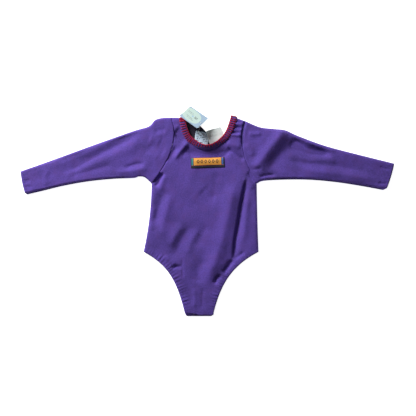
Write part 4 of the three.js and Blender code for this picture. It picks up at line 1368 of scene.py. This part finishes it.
def woven_patch_material(width, height):
    """Damask-woven badge: an orange field with a row of plain dark diamonds, between dark bands, a
    thin red line, and a teal and a blue strip at its ends. Threads are 0.35 mm apart, with shade painted where they
    sink."""
    material, tree, shader = new_material(
        "damask_woven_badge", Roughness=0.62, Sheen_Weight=0.15, Specular_IOR_Level=0.4)
    x, y = place_on_cloth(tree)
    right, top = width / 2, height / 2
    low, high = 7 - top, top - 1.6

    threads = [add(tree, "Math", add(tree, "Math", along, 0.00035, operation="DIVIDE"), 1.0,
                   operation="PINGPONG") for along in (y, x)]
    sunk = add(tree, "Math", *threads, operation="MULTIPLY")
    pitch = add(tree, "Math", add(tree, "Math", x, 0.0094, operation="DIVIDE"), operation="FRACT")
    cell = add(tree, "Math", add(tree, "Math", pitch, 0.5, operation="SUBTRACT"), operation="ABSOLUTE")
    rise = add(tree, "Math", add(tree, "Math", y, 2.7 * MM, operation="SUBTRACT"), 0.0118, operation="DIVIDE")
    reach = add(tree, "Math", cell, add(tree, "Math", rise, operation="ABSOLUTE"), operation="ADD")
    ring = add(tree, "Math", add(tree, "Math", reach, 0.43, operation="LESS_THAN"),
               add(tree, "Math", reach, 0.21, operation="GREATER_THAN"), operation="MULTIPLY")
    diamonds = add(tree, "Math", ring, boxed(tree, x, y, -28.2, 28.2, -top, top), operation="MULTIPLY")
    face = boxed(tree, x, y, 1.3 - right, right - 1.3, 1.0 - top, top - 0.8)
    tone = painted(
        tree, clouded(tree, "15161f", "262a40", 200.0, 5.0),
        (boxed(tree, x, y, 7.5 - right, right - 8, low, high),
         clouded(tree, "ff9d2c", "ffc257", 200.0, 5.0, 1.0, 0.0)),
        (boxed(tree, x, y, 2 - right, right - 2, high, top - 0.9), "c23a2a"),
        (boxed(tree, x, y, 2 - right, right - 2, 6.2 - top, low), "c23a2a"),
        (boxed(tree, x, y, 2 - right, 6.2 - right, low, high), "2f8f94"),
        (boxed(tree, x, y, right - 7, right - 3.2, low, high), "3f6fc0"),
        (diamonds, "231a1c"),
        (add(tree, "Math", 1.0, face, operation="SUBTRACT"), "2b2350"),
        # painted shade where the threads sink
        (add(tree, "Math", sunk, -0.35, 0.35, operation="MULTIPLY_ADD"), "140f12"))
    surfaced(shader, tone, add(tree, "Math", *threads, operation="MAXIMUM"), 0.4, 0.00015)
    return material


def printed_satin(name, colour, shade, ink=None):
    """Satin ribbon, woven in filament polyester. With ink it has rows of broken bars, as of print."""
    material, tree, shader = new_material(name, Roughness=0.42, Specular_IOR_Level=0.5, Sheen_Weight=0.1)
    x, y = place_on_cloth(tree)
    tone = clouded(tree, shade, colour, 140.0)
    if ink:
        rows = add(tree, "Math", add(tree, "Math", y, 0.0004, operation="ADD"), 0.0042, operation="DIVIDE")
        line = add(tree, "Math", rows, operation="FRACT")
        row = add(tree, "Math", rows, operation="FLOOR")
        shifted = add(tree, "Math", row, 0.0031, x, operation="MULTIPLY_ADD")
        spread = add(tree, "CombineXYZ", shifted, add(tree, "Math", row, 0.37, operation="MULTIPLY"))
        words = add(tree, "TexNoise", {"Vector": spread, "Scale": 230.0, "Detail": 1.0})
        from_middle = add(tree, "Math", x, operation="ABSOLUTE")
        share = 0.85
        for value, edge, test in ((words, 0.5, "GREATER_THAN"), (line, 0.28, "GREATER_THAN"),
                                  (line, 0.72, "LESS_THAN"), (from_middle, 0.0145, "LESS_THAN")):
            past = add(tree, "Math", value, edge, operation=test)
            share = add(tree, "Math", past, share, operation="MULTIPLY")
        tone = painted(tree, tone, (share, ink))
    weave = add(tree, "Math", add(tree, "Math", y, 0.00022, operation="DIVIDE"), 1.0, operation="PINGPONG")
    surfaced(shader, tone, weave, 0.2, 0.00008)
    return material


class LEOTARD_OT_patch_and_labels(bpy.types.Operator):
    """Lays the woven patch on the chest and the two labels in the neck"""

    bl_idname = "leotard.patch_and_labels"
    bl_label = "Patch and labels"

    def execute(self, context):
        centre, turn, width, height = np.array([11.6, 133.0]), 2.0, 84.0, 26.0

        def on_chest(plan, local):
            edge = np.minimum(width / 2 - np.abs(local[:, 0]), height / 2 - np.abs(local[:, 1]))
            return on_front(plan)[:, 2] + (0.45 + 0.35 * smooth(edge / 1.6)) * MM

        patch = laid_strip("chest_patch_weave", centre, turn, width, height, on_chest, corner=0.8)
        thicken(patch, 0.0008)
        finish_piece(patch, "garment", ("chest_patch", "patch_border"), "patch_field",
                     woven_patch_material(width, height))
        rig.sheet(patch, flat=(width * MM, height * MM), held="laid", rests_on=["front_cloth"])

        def care_height(plan, local):
            rise = smooth((local[:, 1] + 4) / 24) * 0.9
            pressed = 1.0 * smooth((-local[:, 1] - 4) / 12)
            return (4.85 - pressed + rise * 0.6 + 0.25 * np.sin(local[:, 0] / 7)) * MM

        care = laid_strip("care_label_satin", np.array([-3.6, 190.0]), -7, 34, 40, care_height,
                          corner=1.2, hole=np.array([-12.5, 205.5]))
        thicken(care, 0.0004)
        finish_piece(care, "garment", ("care_label",), "care_label",
                     printed_satin("printed_satin_ribbon", "ddeefc", "bfd8ee", "1f2a4a"))
        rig.sheet(care, flat=(0.034, 0.040), held="laid", rests_on=["back_cloth"])

        def brand_height(plan, local):
            top = smooth((local[:, 1] - 2) / 22)
            bulge = 0.5 * np.cos(local[:, 0] / 20 * math.pi / 2) * top
            crease = -0.35 * np.exp(-(((local[:, 1] + local[:, 0] * 0.12 - 4) / 2.2) ** 2))
            pressed = 1.8 * smooth((-local[:, 1] - 5) / 12)
            return (5.95 - pressed + bulge * 1.4 + crease) * MM

        brand = laid_strip("folded_label_satin", np.array([32.9, 195.0]), 18, 40, 46, brand_height,
                           corner=3.5)
        thicken(brand, 0.0009)
        finish_piece(brand, "garment", ("brand_label",), "brand_label",
                     printed_satin("plain_folded_satin", "f4fbf9", "e0eae8"))
        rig.sheet(brand, flat=(0.040, 0.046), held="folded", rests_on=["care_label_satin"])
        return {"FINISHED"}


# the card's bars: left, right, bottom and top edges in millimetres from its middle
CARD_BARS = ((-22, -6, 5.4, 6.6), (-20, -4, 2.4, 3.6), (-18, 2, -6.6, -5.4), (-15, 4, -9.6, -8.6),
             (2, 10, -2.0, 4.0))


def card_material():
    """Coated card, printed pale blue with a mint oval, and left with plain grey bars and a dot for
    its print. Its coating is smooth over a faint tooth of fibres."""
    material, tree, shader = new_material("coated_card", Roughness=0.38, Specular_IOR_Level=0.5)
    centre = tuple(np.mean(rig.box("hang_tag"), axis=0))
    place = add(tree, "TexCoord", out="Object")
    shifted = add(tree, "VectorMath", place, centre, operation="SUBTRACT")
    card = add(tree, "Mapping", {"Vector": shifted, "Rotation": (0, 0, math.radians(40.5))})
    x = add(tree, "SeparateXYZ", card)
    y = x.node.outputs[1]
    oval = []
    for value, middle, half in ((x, 0.007, 0.026), (y, 0.0, 0.0165)):
        shift = add(tree, "Math", value, middle, operation="ADD")
        share = add(tree, "Math", add(tree, "Math", shift, half, operation="DIVIDE"), operation="ABSOLUTE")
        oval.append(add(tree, "Math", share, 2.4, operation="POWER"))
    reach = add(tree, "Math", *oval, operation="ADD")
    layers = [(add(tree, "Math", reach, 1.0, operation="LESS_THAN"), "b4c9c2")]
    grain = add(tree, "TexNoise", {"Vector": card, "Scale": 700.0})
    broken = add(tree, "Math", grain, 0.47, operation="GREATER_THAN")
    for bar in CARD_BARS:
        layers.append((add(tree, "Math", boxed(tree, x, y, *bar), broken, operation="MULTIPLY"), "6f7c7a"))
    from_dot = add(tree, "Math", x, 0.003, operation="ADD")
    squares = [add(tree, "Math", value, 2.0, operation="POWER") for value in (from_dot, y)]
    radius = add(tree, "Math", add(tree, "Math", *squares, operation="ADD"), 0.5, operation="POWER")
    layers.append((add(tree, "Math", radius, 0.0022, operation="LESS_THAN"), "97b4cb"))
    tone = painted(tree, clouded(tree, "8ea6bc", "a0b4c5", 60.0, 3.0, 1.0, 0.0), *layers)
    fibre = add(tree, "TexNoise", {"Vector": place, "Scale": 900.0, "Detail": 4.0})
    surfaced(shader, tone, fibre, 0.08, 0.0001)
    return material


class LEOTARD_OT_carried_over(bpy.types.Operator):
    """Gives the snaps, swing tag, fastener, elastics and seam threads their finishes"""

    bl_idname = "leotard.carried_over"
    bl_label = "Snaps, tag and notions"

    def execute(self, context):
        finishes = {"snap": material_for("nickel"), "elastic": material_for("elastic"),
                    "seam_thread": material_for("thread"), "tag_fastener": material_for("clear"),
                    "hang_tag": card_material()}
        for name, node in frame["nodes"].items():
            for word, material in finishes.items():
                if word in name:
                    node.data.materials.clear()
                    node.data.materials.append(material)
        # the threads round the armholes and along the underarms turn over with the cloth they hold
        for side in SIDES:
            for seam in ("armhole", "underarm"):
                node = frame["nodes"][f"{side}_{seam}_seam_thread"]
                thread = node.copy()
                thread.data = node.data.copy()
                thread.name = thread.data.name = f"{side}_{seam}_seam"
                thread.parent = None
                bpy.context.collection.objects.link(thread)
                merged = bmesh.new()
                merged.from_mesh(thread.data)
                bmesh.ops.remove_doubles(merged, verts=merged.verts, dist=1e-6)
                merged.to_mesh(thread.data)
                merged.free()
                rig.replaces(thread, node.name)
                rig.slot(thread, "thread")
                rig.blend(thread, "garment", f"{side}_sleeve", **fold_at_shoulder(side))
        return {"FINISHED"}


# ---------------------------------------------------------------- topstitching
def stitch_row(line, height, length, gap_share=0.3, radius=0.22):
    """Short threads along a plan line in millimetres, each sunk at both its ends."""
    total = lengths_along(line)[-1]
    count = max(2, int(total / length))
    dense = stepped(line, 0.6)
    along = lengths_along(dense)
    parts = []
    for i in range(count):
        span = np.linspace(i + gap_share / 2, i + 1 - gap_share / 2, 5) * total / count
        plan = np.stack([np.interp(span, along, dense[:, k]) for k in (0, 1)], 1)
        z = height(plan) / MM
        bow = np.array([-0.25, 0.15, 0.22, 0.15, -0.25])
        parts.append((tube(np.column_stack([plan, z + bow]), radius, 5)))
    return [(p * MM, f) for p, f in parts]


class LEOTARD_OT_topstitching(bpy.types.Operator):
    """Sews the rows of stitches in the leg hems, the tab and the cuffs"""

    bl_idname = "leotard.topstitching"
    bl_label = "Topstitching"

    def execute(self, context):
        length = sizes().stitch_length / MM

        def front_top(plan):
            return on_front(plan)[:, 2]

        rows = []
        leg_stitches = []
        for name in SIDES:
            leg = leg_line(name)
            leg = leg[leg[:, 1] > FRONT_HEM + 6]
            inward = leftward(leg) * -SIDES[name]
            leg_stitches += stitch_row(leg + inward * HEM_WIDTH, front_top, length)
        rows.append(("leg_hem_stitches", "garment", leg_stitches))
        inset = front_edges()["hem"][4:-4] + np.array([0, 4.0])
        rows.append(("tab_hem_stitches", "crotch_flap", stitch_row(inset, front_top, length)))
        for name in SIDES:
            grid = coons(name)
            z = sleeve_heights(grid, name, True) + sizes().cloth_thickness / MM / 2
            reach = np.linalg.norm(grid - grid[-1][None], axis=2)
            columns = np.arange(4, SLEEVE_COLUMNS - 4)
            nearest_rows = np.abs(reach[:, columns] - HEM_WIDTH).argmin(0)
            line, levels = grid[nearest_rows, columns], z[nearest_rows, columns]

            def cuff_top(plan, line=line, levels=levels):
                order = np.argsort(line[:, 1])
                return np.interp(plan[:, 1], line[order, 1], levels[order]) * MM

            rows.append((f"{name}_cuff_stitches", f"{name}_sleeve", stitch_row(line, cuff_top, length)))
        for name, body, stitches in rows:
            finish_piece(gathered(name, stitches), body, (), "thread", material_for("thread"))
        return {"FINISHED"}


# ---------------------------------------------------------------- stage
FLOOR_SIZE = 40
CAMERA_PLACE = (0.0125, 0.020, 1.444)
# name, place, aim and size in metres, and power in watts: a low key light that rakes the folds
LAMPS = (
    ("key", (-1.5, 1.8, 1.12), (0.02, 0.03, 0), 0.9, 106),
    ("overhead", (-0.5, 0.3, 3.0), (0, 0, 0), 1.6, 4),
)


class LEOTARD_OT_stage(bpy.types.Operator):
    """Sets a plain white floor, soft light and a camera straight above"""

    bl_idname = "leotard.stage"
    bl_label = "Stage"

    def execute(self, context):
        bpy.ops.object.select_all(action="DESELECT")
        bpy.ops.mesh.primitive_plane_add(size=FLOOR_SIZE, location=(0, 0, -0.0004))
        floor = bpy.context.object
        floor.name = "studio_floor"
        material, _, _ = new_material(
            "white_light_table", Roughness=0.9, Specular_IOR_Level=0.2, Base_Color=linear("f4f4f4"),
            Emission_Color=(1, 1, 1, 1), Emission_Strength=0.9)
        floor.data.materials.append(material)
        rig.stage(floor)
        scene = context.scene
        world = bpy.data.worlds.new("studio")
        world.use_nodes = True
        background = world.node_tree.nodes["Background"].inputs
        background["Color"].default_value = (1, 1, 1, 1)
        background["Strength"].default_value = 0.075
        scene.world = world
        for name, place, aim, size, power in LAMPS:
            data = bpy.data.lights.new(name, "AREA")
            data.energy = power
            data.size = size
            lamp = bpy.data.objects.new(name, data)
            lamp.location = place
            lamp.rotation_euler = (Vector(aim) - Vector(place)).to_track_quat("-Z", "Y").to_euler()
            scene.collection.objects.link(lamp)
        data = bpy.data.cameras.new("above")
        data.lens = 50
        data.sensor_width = 36
        camera = bpy.data.objects.new("above", data)
        camera.location = CAMERA_PLACE
        scene.collection.objects.link(camera)
        scene.camera = camera
        scene.view_settings.view_transform = "Standard"
        return {"FINISHED"}


class LEOTARD_PT_panel(bpy.types.Panel):
    """Lists the steps that build the leotard"""

    bl_label = "Leotard"
    bl_idname = "LEOTARD_PT_panel"
    bl_space_type = "VIEW_3D"
    bl_region_type = "UI"
    bl_category = "Leotard"

    def draw(self, context):
        for key in LeotardSizes.__annotations__:
            self.layout.prop(context.scene.leotard_sizes, key)
        for operator in OPERATORS:
            self.layout.operator(operator.bl_idname)


OPERATORS = (
    LEOTARD_OT_stage,
    LEOTARD_OT_body_panels,
    LEOTARD_OT_plackets,
    LEOTARD_OT_sleeves,
    LEOTARD_OT_neck_painted_shade,
    LEOTARD_OT_neck_binding,
    LEOTARD_OT_patch_and_labels,
    LEOTARD_OT_topstitching,
    LEOTARD_OT_carried_over,
)


def register():
    for item in (LeotardSizes, *OPERATORS, LEOTARD_PT_panel):
        bpy.utils.register_class(item)
    bpy.types.Scene.leotard_sizes = bpy.props.PointerProperty(type=LeotardSizes)


def unregister():
    del bpy.types.Scene.leotard_sizes
    for item in reversed((LeotardSizes, *OPERATORS, LEOTARD_PT_panel)):
        bpy.utils.unregister_class(item)


def main():
    register()
    for operator in OPERATORS:
        group, action = operator.bl_idname.split(".")
        result = getattr(getattr(bpy.ops, group), action)()
        if result != {"FINISHED"}:
            raise RuntimeError(f"{operator.bl_label} did not finish")
    with open("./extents.json", "w") as out:
        json.dump({"cad": [list(v) for v in CAD_BOX], "visual": [list(v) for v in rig.bounds()]}, out)


if __name__ == "__main__":
    main()
